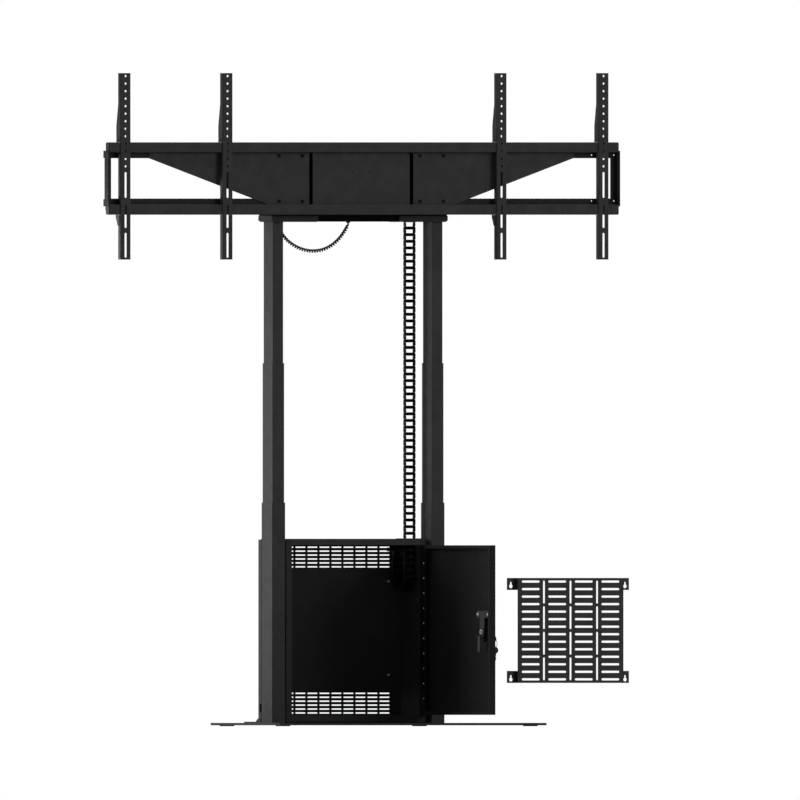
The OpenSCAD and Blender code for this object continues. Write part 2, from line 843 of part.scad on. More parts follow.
module hinge_leaf_fixed() {
    width = cab_w / 2 - hinge_x - 0.5;
    color(coat) on_frame() translate([hinge_x, -hinge_front, 0])
        hinge_leaf(0, width, hinge_front - cab_front - leaf_t, hinge_front - cab_front);
}

module hinge_leaf_door() {
    color(coat) open_door() difference() {
        mirror([1, 0, 0]) hinge_leaf(1, leaf_w, door_in, door_in + leaf_t);
        rivet_places() along_y(0, door_in - 1, 0, rivet_d / 2 + rivet_clear, leaf_t + 2);
    }
}

module hinge_pin() {
    color(steel) on_frame() translate([hinge_x, -hinge_front, door_z]) cylinder(d = pin_d, h = door_h);
}

plug_z = lock_z - plug_drop;
shaft_r = 5;
shaft_clear = 0.08;
plug_r = 6;
barrel_r = 9;
clamp_screw_span = 72;
clamp_bar_z = 372;
tee_w = 98;
tee_h = 23;
case_stem_w = 34;
clamp_stem_w = 32;
case_t = 8.5;
clamp_t = 2.5;
clamp_face = door_out + door_sheet + case_t + clamp_t;
clamp_screw_d = 5;

module door_panel() {
    free = -door_w;
    top = door_z + door_h;
    color(coat) open_door() difference() {
        block([free, door_out, door_z], [door_edge, door_in, top]);
        block([free + door_sheet, door_out + door_sheet, door_z + door_sheet],
            [door_edge - door_sheet, door_in - door_sheet, top - door_sheet]);
        block([free + door_lip, 0, door_z + door_lip], [door_edge - leaf_w, door_in + 1, top - door_lip]);
        rivet_places() along_y(0, door_in - 2 * door_sheet, 0, rivet_d / 2 + rivet_clear, 3 * door_sheet);
        along_y(lock_x, door_out - 1, lock_z, shaft_r + 1, 3 * door_sheet);
        along_y(lock_x, door_out - 1, plug_z, barrel_r + shaft_clear, 3 * door_sheet);
    }
}

// Hinge rivets and the two screws of the lock's clamp
module door_fasteners() {
    screw_head_r = 5;
    screw_head_h = 3.5;
    inside = door_out + door_sheet;
    color(steel) open_door() {
        rivet_places() {
            along_y(0, door_in + leaf_t, 0, rivet_head_d / 2, rivet_head_h);
            along_y(0, door_in - door_sheet, 0, rivet_d / 2, leaf_t + door_sheet + eps);
        }
        for (x = SIDES) translate([lock_x + x * clamp_screw_span / 2, 0, clamp_bar_z]) {
            along_y(0, clamp_face, 0, screw_head_r, screw_head_h);
            along_y(0, inside, 0, clamp_screw_d / 2, case_t + clamp_t + eps);
        }
    }
}

lock_plate_t = 4;
boss_h = 4;
boss_r = 11;
plate_out = door_out - lock_plate_t;

// Plate on the outside of the door, with the boss and the barrel of the lock plug
module lock_plate() {
    plate_w = 34;
    margin = 18;
    barrel_len = 13;
    color(plastic) open_door() difference() {
        union() {
            front_plate(-plate_out, lock_plate_t) translate([lock_x, (lock_z + plug_z) / 2])
                rounded(plate_w, plug_drop + 2 * margin, 8);
            along_y(lock_x, plate_out - boss_h, plug_z, boss_r, boss_h + 1);
            along_y(lock_x, door_out - 1, plug_z, barrel_r, barrel_len);
        }
        along_y(lock_x, plate_out - 1, lock_z, shaft_r + shaft_clear, lock_plate_t + 2);
        along_y(lock_x, plate_out - boss_h - 1, plug_z, plug_r + shaft_clear, barrel_len + 3 * boss_h);
    }
}

// T outline of the lock's inside, with the holes of the shaft, the barrel and the two screws
module lock_tee(y, t, stem_w, shaft_room) {
    stem_off = 7;
    stem_low = lock_z - 12;
    difference() {
        front_plate(-y, t) {
            translate([lock_x, clamp_bar_z]) rounded(tee_w, tee_h, 9);
            translate([lock_x - stem_off, stem_low]) square([stem_w, clamp_bar_z - stem_low]);
        }
        along_y(lock_x, y - 1, lock_z, shaft_r + shaft_room, t + 2);
        along_y(lock_x, y - 1, plug_z, barrel_r + 0.5, t + 2);
        for (x = SIDES) along_y(lock_x + x * clamp_screw_span / 2, y - 1, clamp_bar_z,
            clamp_screw_d / 2 + rivet_clear, t + 2);
    }
}

module lock_case() {
    color(plastic) open_door() lock_tee(door_out + door_sheet, case_t, case_stem_w, 0.5);
}

module lock_clamp() {
    color(coat) open_door() lock_tee(clamp_face - clamp_t, clamp_t, clamp_stem_w, shaft_clear);
}

cam_t = 3;
cam_hub_y = -8;
cam_y = hinge_r + hinge_gap + sheet + 1;
cam_w = 17;
stem_r = 4;
nut_h = 6.5;

// Lever outside, with the shaft through the door
module door_handle() {
    lever_len = 72;
    lever_t = 11;
    hub_r = 12;
    tip_r = 9;
    gap = 0.2;
    color(plastic) open_door() {
        front_plate(-plate_out + gap + lever_t, lever_t) translate([lock_x, lock_z]) {
            circle(hub_r);
            translate([-tip_r, 0]) square([2 * tip_r, lever_len]);
            translate([0, lever_len]) circle(tip_r);
        }
        along_y(lock_x, plate_out - gap - 1, lock_z, shaft_r, cam_hub_y - plate_out + gap + 1);
        along_y(lock_x, cam_hub_y - 1, lock_z, stem_r, cam_t + nut_h + 2);
    }
}

// Cranked cam: hub on the shaft, step towards the cabinet, tongue behind the front lip
module latch_cam() {
    step_z = lock_z - 14;
    hub_top = 13;
    color(coat) open_door() difference() {
        union() {
            block([lock_x - cam_w / 2, cam_hub_y, step_z],
                [lock_x + cam_w / 2, cam_hub_y + cam_t, lock_z + hub_top]);
            block([lock_x - cam_w / 2, cam_hub_y, step_z - cam_t],
                [lock_x + cam_w / 2, cam_y + cam_t, step_z]);
            front_plate(-cam_y, cam_t) translate([lock_x, 0]) {
                translate([-cam_w / 2, lock_z - cam_len + cam_w / 2])
                    square([cam_w, step_z - lock_z + cam_len - cam_w / 2]);
                translate([0, lock_z - cam_len + cam_w / 2]) circle(d = cam_w);
            }
        }
        along_y(lock_x, cam_hub_y - 1, lock_z, stem_r + seat_gap, cam_t + 2);
    }
}

module cam_nut() {
    nut_d = 15;
    color(steel) open_door() translate([lock_x, cam_hub_y + cam_t, lock_z]) rotate([-90, 0, 0]) difference() {
        cylinder(d = nut_d, h = nut_h, $fn = 6);
        translate([0, 0, -1]) cylinder(r = stem_r + seat_gap, h = nut_h + 2);
    }
}

plug_face = plate_out - boss_h - 0.5;
key_t = 2.4;
key_head_t = 4.5;
key_head_r = 11.5;
key_neck = 6;
key_blade_w = 8;
key_hole_off = 7;
key_hole_r = 2.6;
key_mid = plug_face - key_neck - key_head_r + 1;
ring_r = 14;
ring_wire = 0.9;

module lock_plug() {
    tail = 8;
    groove = 3;
    color(steel) open_door() difference() {
        along_y(lock_x, plug_face, plug_z, plug_r, door_out - plug_face + tail);
        translate([lock_x, plug_face + groove / 2, plug_z])
            cube([key_t + 0.4, groove + 1, key_blade_w + 0.4], center = true);
    }
}

// Key from the middle of its head, the blade towards +X by its reach
module key_shape(reach) {
    difference() {
        union() {
            translate([0, 0, -key_head_t / 2]) cylinder(r = key_head_r, h = key_head_t);
            block([0, -key_blade_w / 2, -key_t / 2], [reach, key_blade_w / 2, key_t / 2]);
        }
        translate([-key_hole_off, 0, -key_head_t]) cylinder(r = key_hole_r, h = 2 * key_head_t);
    }
}

module lock_key() {
    color(plastic) open_door() translate([lock_x, key_mid, plug_z]) rotate([0, 90, 0]) rotate(90)
        key_shape(plug_face - key_mid + 2);
}

// Key ring through the key's head, and the spare key that hangs from it
module spare_key() {
    spare_reach = 34;
    ring_clear = 0.4;
    slack = key_hole_r - ring_wire - ring_clear;
    color(plastic) open_door() translate([lock_x, key_mid - key_hole_off, plug_z - slack - ring_r]) {
        rotate([90, 0, 0]) rotate_extrude() translate([ring_r, 0]) circle(ring_wire);
        translate([0, 0, -ring_r - slack - key_hole_off]) rotate([0, 90, 0]) key_shape(spare_reach);
    }
}

// Head of the lift

module head_brackets() {
    cut_x = 8;
    cut_z = 5;
    color(coat_dark) on_frame() for (side = SIDES) mirror([side < 0 ? 1 : 0, 0, 0]) difference() {
        front_plate(bracket_front, bracket_front + bracket_back) polygon([
            [bracket_in, head_top], [bracket_out, head_top], [bracket_out, inner_top + cut_z],
            [bracket_out - cut_x, inner_top], [bracket_in + cut_x, inner_top], [bracket_in, inner_top + cut_z]
        ]);
        block([bracket_in + bracket_t + cut_x / 2, -bracket_front + bracket_t, inner_top + bracket_t],
            [bracket_out - bracket_t - cut_x / 2, bracket_back - bracket_t, head_top + 1]);
    }
}

cross_h = 21;
cross_z = inner_top + 1;

module cross_channel() {
    color(plastic) on_frame() difference() {
        block([-bracket_in, -cross_front, cross_z], [bracket_in, cross_back, cross_z + cross_h]);
        block([-bracket_in - 1, -cross_front + bracket_t, cross_z + bracket_t],
            [bracket_in + 1, cross_back - bracket_t, cross_z + cross_h + 1]);
    }
}

module control_box() {
    box_w = 150;
    box_d = 52;
    box_h = 13;
    color(plastic) on_frame() translate([0, (cross_back - cross_front) / 2, cross_z + bracket_t])
        linear_extrude(box_h) rounded(box_w, box_d, 4);
}

upright_foot_top = low_rail_z + 0.5;

// Folded uprights on the head brackets, which carry the rails and the wings
module uprights() {
    gusset_back = 45;
    gusset_low = 16;
    gusset_top = 24;
    foot_in = 1;
    foot_front = 3;
    color(coat_dark) on_frame() for (side = SIDES) mirror([side < 0 ? 1 : 0, 0, 0]) difference() {
        union() {
            block([upright_in, -rail_back, head_top], [upright_out, -rail_back + plate_t, top_rail_top]);
            block([upright_in, -rail_back, head_top], [upright_out, gusset_back, head_top + plate_t]);
            block([bracket_in + foot_in, -bracket_front + foot_front, head_top],
                [bracket_out - foot_in, gusset_back, upright_foot_top]);
            for (x = [upright_in, upright_out - plate_t]) side_plate(x, plate_t) polygon([
                [-rail_back, head_top], [gusset_back, head_top], [gusset_back, head_top + gusset_low],
                [-rail_back + gusset_top, top_rail_top], [-rail_back, top_rail_top]
            ]);
        }
        wing_screw_places() along_y(0, -rail_back - 1, 0, wing_screw_d / 2 + bolt_clear, plate_t + 2);
    }
}

module spine_plate() {
    spine_front = 30;
    foot_x = bracket_in - 1;
    color(coat_dark) on_frame() {
        block([-upright_in, -spine_front, upright_foot_top],
            [upright_in, -spine_front + plate_t, top_rail_z + plate_t]);
        block([-foot_x, -spine_front, cross_z + cross_h],
            [foot_x, -spine_front + plate_t, upright_foot_top + 1]);
    }
}

module rail(z) {
    corner = 5;
    color(coat) on_frame() intersection() {
        union() {
            translate([-rail_len / 2, -rail_front, z + rail_h / 2]) rotate([90, 0, 90])
                linear_extrude(rail_len) channel(rail_d, rail_h, rail_t, rail_t + 1);
            for (x = [-rail_len / 2, rail_len / 2 - rail_t])
                block([x, -rail_front, z], [x + rail_t, -rail_back, z + rail_h]);
        }
        front_plate(rail_front + 1, rail_d + 2) translate([0, z + rail_h / 2])
            rounded(rail_len, rail_h, corner);
    }
}

module rail_top() { rail(top_rail_z); }
module rail_low() { rail(low_rail_z); }

// End bracket, with the strips that run inwards behind the rails
side_hole_d = 5;
side_holes_x = [7, 91];

module side_frames() {
    flange_w = 20;
    web_t = 3.4;
    web_front = 1;
    web_over = 6;
    ear = 8;
    ear_h = 24;
    top_strip = 19;
    low_strip = 38;
    low_behind = 18;
    strip_over = 5;
    end = rail_len / 2;
    color(coat) on_frame() for (side = SIDES) mirror([side < 0 ? 1 : 0, 0, 0]) difference() {
        union() {
            front_plate(rail_back, plate_t) {
                translate([wing_tip - 15, top_rail_z - top_strip])
                    square([end - wing_tip + 15, top_strip + strip_over]);
                translate([upright_out + 1, low_rail_top - low_behind])
                    square([end - upright_out - 1, low_strip]);
                translate([end - flange_w, low_rail_top - low_behind])
                    square([flange_w, top_rail_z - low_rail_top + low_behind + strip_over]);
            }
            side_plate(end, web_t) {
                translate([-rail_front - web_front, low_rail_top - web_over])
                    square([rail_d + plate_t + web_front, top_rail_z - low_rail_top + 2 * web_over]);
                for (z = [low_rail_top - web_over, top_rail_z + web_over - ear_h])
                    translate([-rail_back, z]) square([plate_t + ear, ear_h]);
            }
            block([end - 1, -rail_back, low_rail_top - web_over],
                [end + 1, -rail_back + plate_t, top_rail_z + strip_over]);
        }
        for (x = side_holes_x, z = [top_rail_z - top_strip / 2 + 1, low_rail_top + 12])
            along_y(end - x, -rail_back - 1, z, side_hole_d / 2, plate_t + 2);
    }
}

wing_screw_d = 6;
wing_screw_x = [221.5, 309];
wing_screw_in = 11;

// Screws of one wing: each place on the plane of the wing's outline
module wing_screw_places() {
    for (x = wing_screw_x, z = [low_rail_top + wing_screw_in, top_rail_z - wing_screw_in])
        translate([x, 0, z]) children();
}

module wing(side) {
    color(coat) on_frame() mirror([side < 0 ? 1 : 0, 0, 0]) difference() {
        front_plate(plate_front, plate_t) polygon([
            [wing_in, top_rail_z], [wing_tip - 4, top_rail_z], [wing_tip, top_rail_z - wing_tip_h],
            [wing_low, low_rail_top], [wing_in, low_rail_top]
        ]);
        wing_screw_places() along_y(0, -plate_front - 1, 0, wing_screw_d / 2 + bolt_clear, plate_t + 2);
    }
}

module wing_left() { wing(-1); }
module wing_right() { wing(1); }

cover_screw_d = 3;
cover_screw_x = 32.5;
cover_screw_z = (low_rail_top + top_rail_z) / 2 + 23;

module centre_plate() {
    color(coat) on_frame() difference() {
        block([-centre_w / 2, -plate_front, low_rail_top], [centre_w / 2, -rail_back, top_rail_z]);
        for (x = SIDES) along_y(x * cover_screw_x, -plate_front - 1, cover_screw_z,
            cover_screw_d / 2 + rivet_clear, plate_t + 2);
    }
}

// Wing screws with a socket, and the two small cover screws
module frame_screws() {
    head_r = 5.5;
    head_h = 3;
    socket_d = 5;
    socket_h = 1.6;
    shank = 4;
    cover_head_r = 2.6;
    cover_head_h = 1.2;
    color(plastic) on_frame() {
        for (side = SIDES) mirror([side < 0 ? 1 : 0, 0, 0]) wing_screw_places() difference() {
            union() {
                along_y(0, -plate_front - head_h, 0, head_r, head_h);
                along_y(0, -plate_front - eps, 0, wing_screw_d / 2, 2 * plate_t + shank);
            }
            translate([0, -plate_front - head_h - eps, 0]) rotate([-90, 0, 0])
                cylinder(d = socket_d, h = socket_h, $fn = 6);
        }
        for (x = SIDES) {
            along_y(x * cover_screw_x, -plate_front - cover_head_h, cover_screw_z, cover_head_r,
                cover_head_h);
            along_y(x * cover_screw_x, -plate_front - eps, cover_screw_z, cover_screw_d / 2, plate_t);
        }
    }
}

// Screen arms: channel with hooks over the top rail, hole column, slots and a locking tab

slot_ranges = [[6, 89], [105, 181], [205, 291]];
arm_hole_top = 10;
hook_tail = 3;
hook_low = 16;
hook_long = 127;
hook_taper = 73;

module arm_shape(lock_side) {
    hook_back = rail_back - arm_clear;
    hook_end = hook_back - hook_tail;
    seat = top_rail_top + arm_clear;
    difference() {
        union() {
            difference() {
                translate([0, -arm_front, arm_z]) linear_extrude(arm_len) rotate(90)
                    channel(arm_d, arm_w, arm_t, arm_t + 1);
                for (z = [low_rail_z, top_rail_z]) block([-arm_w, -arm_seat, z - arm_clear],
                    [arm_w, -arm_back + 1, z + rail_h + arm_clear]);
            }
            for (x = [-arm_w / 2, arm_w / 2 - arm_t]) side_plate(x, arm_t) polygon([
                [-arm_back - arm_d / 2, seat + hook_long], [-arm_back, seat + hook_long],
                [-hook_end, seat + hook_long - hook_taper], [-hook_end, seat - hook_low],
                [-hook_back, seat - hook_low], [-hook_back, seat], [-arm_back - arm_d / 2, seat]
            ]);
        }
        for (i = [0 : hole_count - 1])
            along_y(0, -arm_front - 1, arm_z + arm_len - arm_hole_top - i * hole_pitch, hole_d / 2,
                arm_t + 2);
        for (range = slot_ranges) front_plate(arm_front + 1, arm_t + 2)
            translate([0, arm_z + (range[0] + range[1]) / 2]) rotate(90) slot(range[1] - range[0], slot_w);
    }
    lock_tab(lock_side, hook_back, hook_end);
}

// Locking tab on one side of an arm: its nose stands behind the lower rail's bottom edge
module lock_tab(lock_side, hook_back, hook_end) {
    tab_t = 2;
    tab_gap = 0.1;
    tab_h = 36;
    nose_h = 10;
    grip = 11;
    top = low_rail_z - 2 * arm_clear;
    mirror([lock_side < 0 ? 1 : 0, 0, 0]) side_plate(arm_w / 2 + tab_gap, tab_t) polygon([
        [-arm_back - grip, top], [-arm_back - grip, top - tab_h + 6], [-arm_back, top - tab_h],
        [-hook_end - 5, top - tab_h / 2], [-hook_end, top - nose_h], [-hook_end, top + nose_h],
        [-hook_back, top + nose_h], [-hook_back, top]
    ]);
}

module screen_arm(x, lock_side) { color(coat) on_frame() translate([x, 0, 0]) arm_shape(lock_side); }

module screen_arm_1() { screen_arm(-arm_outer, -1); }
module screen_arm_2() { screen_arm(-arm_inner, 1); }
module screen_arm_3() { screen_arm(arm_inner, -1); }
module screen_arm_4() { screen_arm(arm_outer, 1); }

// Curly cord: one tube wound about a hanging line between the two glands

cord_y = 30;
cord_left_x = -264;
cord_right_x = -2.6;
cord_start_pull = 74.3;
cord_end_pull = 175.6;
cord_start_lean = 5.6;
cord_end_lean = 27.4;
cord_start = [cord_left_x, cord_y, inner_top - gland_h];
cord_end = [cord_right_x, cord_y, cross_z - gland_h];
curl_rings = 8;
cord_sides = 6;
curl_r = (curl_d - cord_d) / 2;
lead = cord_d;
rings = curls * curl_rings;

// The hanging line: a curve that leaves both glands downwards, each at its own lean
line_start = cord_start - [0, 0, lead];
line_end = cord_end - [0, 0, lead];
line_from = line_start + cord_start_pull * [sin(cord_start_lean), 0, -cos(cord_start_lean)];
line_to = line_end - cord_end_pull * [sin(cord_end_lean), 0, cos(cord_end_lean)];
function line_point(t) = line_start * pow(1 - t, 3) + 3 * line_from * pow(1 - t, 2) * t
    + 3 * line_to * (1 - t) * t * t + line_end * pow(t, 3);
function unit(v) = v / norm(v);
function line_dir(t) = unit(line_point(min(t + 0.001, 1)) - line_point(max(t - 0.001, 0)));

// Lengths along the line, so that the curls are evenly spaced
line_steps = 200;
line_points = [for (i = [0 : line_steps]) line_point(i / line_steps)];
line_sums = [for (i = 0, s = 0; i <= line_steps;
    s = s + (i < line_steps ? norm(line_points[i + 1] - line_points[i]) : 0), i = i + 1) s];
line_len = line_sums[line_steps];
function share_index(s, low, high) = high - low < 2 ? low
    : let (m = floor((low + high) / 2)) line_sums[m] > s ? share_index(s, low, m) : share_index(s, m, high);
function share_at(s) = let (i = share_index(s, 0, line_steps))
    (i + (s - line_sums[i]) / (line_sums[i + 1] - line_sums[i])) / line_steps;

// Centre of the cord at ring i: the curl opens and closes over its first and last turn
function curl_open(i) = min(1, i / curl_rings, (rings - i) / curl_rings);
function curl_point(i) = let (
    t = share_at(line_len * i / rings), dir = line_dir(t), side = [0, 1, 0], up = cross(dir, side),
    a = 360 * i / curl_rings
) line_point(t) + curl_r * curl_open(i) * (side * cos(a) + up * sin(a));
cord_points = concat([cord_start], [for (i = [0 : rings]) curl_point(i)], [cord_end]);
cord_count = len(cord_points);

// Ring of corners about a centre, square to the direction of the cord there
function ring_dir(i) = i == 0 || i == cord_count - 1 ? [0, 0, i == 0 ? -1 : 1]
    : unit(cord_points[i + 1] - cord_points[i - 1]);
function ring_side(i) = let (d = ring_dir(i)) unit(cross(abs(d[0]) < 0.9 ? [1, 0, 0] : [0, 1, 0], d));

// The side direction is carried from ring to ring, so that the tube doesn't twist
cord_frames = [for (i = 0, s = ring_side(0); i < cord_count;
    i = i + 1, s = i < cord_count ? unit(s - ring_dir(i) * (s * ring_dir(i))) : s) s];
cord_corners = [for (i = [0 : cord_count - 1], k = [0 : cord_sides - 1]) let (a = 360 * k / cord_sides)
    cord_points[i] + cord_d / 2 * (cord_frames[i] * cos(a) + cross(ring_dir(i), cord_frames[i]) * sin(a))];
cord_faces = concat(
    [for (k = [1 : cord_sides - 2]) [0, k, k + 1]],
    [for (i = [0 : cord_count - 2], k = [0 : cord_sides - 1], half = [0, 1]) let (
        a = i * cord_sides + k, b = i * cord_sides + (k + 1) % cord_sides,
        c = a + cord_sides, d = b + cord_sides
    ) half == 0 ? [a, c, b] : [b, c, d]],
    [for (k = [1 : cord_sides - 2]) let (n = (cord_count - 1) * cord_sides) [n, n + k + 1, n + k]]
);

// Least gap of the cord to itself, between rings that are three quarters of a curl or more apart
gap_from = 3 * curl_rings / 4;
function gap_last(i) = min(i + 3 * curl_rings, cord_count - 1);
cord_gap = min([for (i = [0 : cord_count - 1 - gap_from], j = [i + gap_from : gap_last(i)])
    norm(cord_points[i] - cord_points[j])]) - cord_d;
cord_length = 2 * lead + rings * norm(curl_point(rings / 2 + 1) - curl_point(rings / 2));

module curly_cord() {
    echo(cord_gap = cord_gap, cord_length = cord_length, line_length = line_len + 2 * lead);
    color(plastic) on_frame() polyhedron(points = cord_corners, faces = cord_faces, convexity = 10);
}

module cord_glands() {
    taper = 3;
    color(plastic) on_frame() for (end = [cord_start, cord_end]) translate(end) {
        cylinder(d1 = gland_d - taper, d2 = gland_d, h = taper);
        translate([0, 0, taper]) cylinder(d = gland_d, h = gland_h - taper);
    }
}

// Equipment panel: slotted front, four tabs with keyholes, set beside the lift

panel_t = 1.5;
tab_h = 40;
tab_reach = 30.5;
wide_slot = [67, 7];
wide_pitch = [100, 25];
wide_cols = 4;
wide_rows = 14;
tall_slot = [76, 7];
tall_pitch = [100, 85];
tall_cols = 3;
tall_rows = 4;

module keyhole() {
    head_clear = 5;
    clear = 1;
    circle(d = stud_head_d + head_clear);
    translate([-stud_d / 2 - clear / 2, 0]) square([stud_d + clear, 12]);
    translate([0, 12]) circle(d = stud_d + clear);
}

module equipment_panel() {
    key_drop = 8;
    color(coat) on_frame() translate([panel_x, 0, panel_z - panel_drop]) {
        front_plate(panel_front, panel_t) difference() {
            rounded(panel_w, panel_h, 3);
            for (col = [0 : wide_cols - 1], row = [0 : wide_rows - 1])
                translate([(col - (wide_cols - 1) / 2) * wide_pitch[0],
                    (row - (wide_rows - 1) / 2) * wide_pitch[1]]) slot(wide_slot[0], wide_slot[1]);
            for (col = [0 : tall_cols - 1], row = [0 : tall_rows - 1])
                translate([(col - (tall_cols - 1) / 2) * tall_pitch[0],
                    (row - (tall_rows - 1) / 2) * tall_pitch[1]]) rotate(90) slot(tall_slot[0], tall_slot[1]);
        }
        for (x = SIDES, z = SIDES) mirror([x < 0 ? 1 : 0, 0, 0])
            translate([0, 0, z * (panel_h - tab_h) / 2]) {
            block([panel_w / 2 - panel_t, -panel_front, -tab_h / 2],
                [panel_w / 2, -panel_front + panel_d, tab_h / 2]);
            front_plate(panel_front - panel_d + panel_t, panel_t) difference() {
                translate([panel_w / 2 - panel_t, -tab_h / 2]) square([tab_reach + panel_t, tab_h]);
                translate([key_span_x / 2, z * (key_span_z - panel_h + tab_h) / 2 - key_drop]) keyhole();
            }
        }
    }
}

base_plate();
floor_feet();
outer_tubes();
column_holders();
holder_bolts();
outer_glides();
lower_screws();
cabinet_sides();
cabinet_top();
cabinet_floor();
cabinet_back();
panel_studs();
cabinet_spacers();
chain_collar();
chain_anchor_fixed();
chain_fixed_run();
hinge_leaf_fixed();
hinge_pin();
equipment_panel();
door_panel();
hinge_leaf_door();
door_fasteners();
lock_plate();
lock_case();
lock_clamp();
door_handle();
latch_cam();
cam_nut();
lock_plug();
lock_key();
spare_key();
mid_tubes();
mid_glides();
spindle_plates();
chain_bend();
spindle_left();
spindle_right();
inner_tubes();
spindle_nuts();
drive_motors();
head_brackets();
cross_channel();
control_box();
uprights();
spine_plate();
rail_top();
rail_low();
side_frames();
wing_left();
wing_right();
centre_plate();
frame_screws();
curly_cord();
cord_glands();
chain_anchor_head();
chain_moving_run();
screen_arm_1();
screen_arm_2();
screen_arm_3();
screen_arm_4();
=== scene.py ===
"""Looks of a two-column television lift: finishes, cable chain, curly cord, keys and small hardware."""
import math

import bmesh
import bpy
from mathutils import Matrix, Vector


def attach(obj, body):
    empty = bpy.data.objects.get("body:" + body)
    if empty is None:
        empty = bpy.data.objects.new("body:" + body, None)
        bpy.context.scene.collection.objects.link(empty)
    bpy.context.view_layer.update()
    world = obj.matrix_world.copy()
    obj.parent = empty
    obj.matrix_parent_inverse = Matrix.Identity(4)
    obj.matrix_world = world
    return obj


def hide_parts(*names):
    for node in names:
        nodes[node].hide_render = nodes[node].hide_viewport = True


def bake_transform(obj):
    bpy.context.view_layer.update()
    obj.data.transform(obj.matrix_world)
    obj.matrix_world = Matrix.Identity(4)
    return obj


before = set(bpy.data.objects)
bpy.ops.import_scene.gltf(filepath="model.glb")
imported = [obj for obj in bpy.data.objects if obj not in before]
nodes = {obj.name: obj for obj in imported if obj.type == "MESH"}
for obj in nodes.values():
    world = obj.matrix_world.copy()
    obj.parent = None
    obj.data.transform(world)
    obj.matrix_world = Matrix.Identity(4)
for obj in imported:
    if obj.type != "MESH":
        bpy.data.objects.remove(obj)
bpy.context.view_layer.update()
MM = 0.001

# Places shared with the part's source, in millimetres; Y counts from the columns' axis plane. The chain's
# plates and bars and the cord's wire are fuller here, and the cord has fewer curls, as the photograph shows
AXIS_Y = 126.95
CHAIN = dict(x=229.0, y=31.5, pitch=22.06, inside=30.8, depth=15.0, plate=2.1, clear=0.15,
             top=1667.0, gather=1310.0, run=53, bend=6, fixed=3)
LINK = dict(play=0.5, waist=0.6, lap=0.05, boss_r=3.2, boss_rise=0.2, boss_sink=0.01, bar_h=10.6,
            bar_t=2.0, bar_lap=0.5, rounding=0.25)
BEND_STEP = math.radians(180 / CHAIN["bend"])
BEND_R = CHAIN["pitch"] / 2 / math.sin(BEND_STEP / 2)
BEND_Z = CHAIN["top"] - CHAIN["run"] * CHAIN["pitch"]
CORD = dict(start=(-264.0, 30.0, 1672.0), end=(-2.6, 30.0, 1673.0), lead=4.4, start_pull=74.3,
            start_lean=5.6, end_pull=175.6, end_lean=27.4, wire=6.2, curl=13.2, curls=36)
RAIL = dict(length=1921.0, height=34.0, front=-78.0, back=-55.0, sheet=2.0, fold=3.0, corner=5.0,
            low=1700.0, top=1907.0)
KEY = dict(y=-446.9, head_x=289.6, plug_z=290.0, head_r=11.5, head_t=4.5, blade_w=8.0, blade_t=2.4,
           hole_off=7.0, hole_r=2.6, ring_r=14.0, wire=0.9, slack=1.3, short=18.5, long=34.0,
           root=3.0, point=2.0, slant=1.5, slant_drop=0.6, rounding=0.3)
KEY_CUTS = dict(depths=(1.6, 0.5, 2.2, 1.0), first=4.0, step=4.0, flank=1.0, room=2.0)


def at(x, y, z):
    """A point given in the source's millimetres, in the part's frame."""
    return Vector((x * MM, (y + AXIS_Y) * MM, z * MM))


# Materials

COOL = 1.02
NOISE_LOW, NOISE_HIGH = 0.3, 0.7


class Shade:
    """One node material: a principled surface with helpers for its patterns."""

    def __init__(self, name, colour, roughness, metallic=0.0, specular=0.5):
        self.material = bpy.data.materials.new(name)
        self.material.use_nodes = True
        self.tree = self.material.node_tree
        self.surface = self.tree.nodes["Principled BSDF"]
        self.set("Base Color", (*colour, 1))
        self.set("Roughness", roughness)
        self.set("Metallic", metallic)
        self.set("Specular IOR Level", specular)
        self.place = self.tree.nodes.new("ShaderNodeTexCoord").outputs["Object"]

    def set(self, socket, value):
        self.surface.inputs[socket].default_value = value

    def add(self, kind, values=()):
        """A new node of the material, with the values of some of its inputs set."""
        made = self.tree.nodes.new("ShaderNode" + kind)
        for key, value in values:
            made.inputs[key].default_value = value
        return made

    def join(self, output, socket):
        self.tree.links.new(output, socket)

    def noise(self, scale, detail=3.0, rough=0.55, stretch=(1, 1, 1)):
        """A noise in the object's own coordinates, drawn finer along an axis by its stretch."""
        turned = self.add("Mapping", [("Scale", stretch)])
        self.join(self.place, turned.inputs["Vector"])
        made = self.add("TexNoise", [("Scale", scale), ("Detail", detail), ("Roughness", rough)])
        self.join(turned.outputs["Vector"], made.inputs["Vector"])
        return made.outputs["Fac"]

    def ramp(self, value, stops):
        """Colours at given places of a value."""
        made = self.add("ValToRGB")
        marks = made.color_ramp.elements
        while len(marks) < len(stops):
            marks.new(0.5)
        for mark, (where, colour) in zip(marks, stops):
            mark.position = where
            mark.color = (*colour, 1)
        self.join(value, made.inputs["Fac"])
        return made.outputs["Color"]

    def span(self, value, low, high):
        """A noise spread over a range from low to high."""
        made = self.add("MapRange", [("From Min", NOISE_LOW), ("From Max", NOISE_HIGH),
                                     ("To Min", low), ("To Max", high)])
        self.join(value, made.inputs["Value"])
        return made.outputs["Result"]

    def bump(self, value, strength, distance):
        made = self.add("Bump", [("Strength", strength), ("Distance", distance)])
        self.join(value, made.inputs["Height"])
        self.join(made.outputs["Normal"], self.surface.inputs["Normal"])


def grey(level):
    """A grey of a given level, a touch cool."""
    return (level, level, level * COOL)


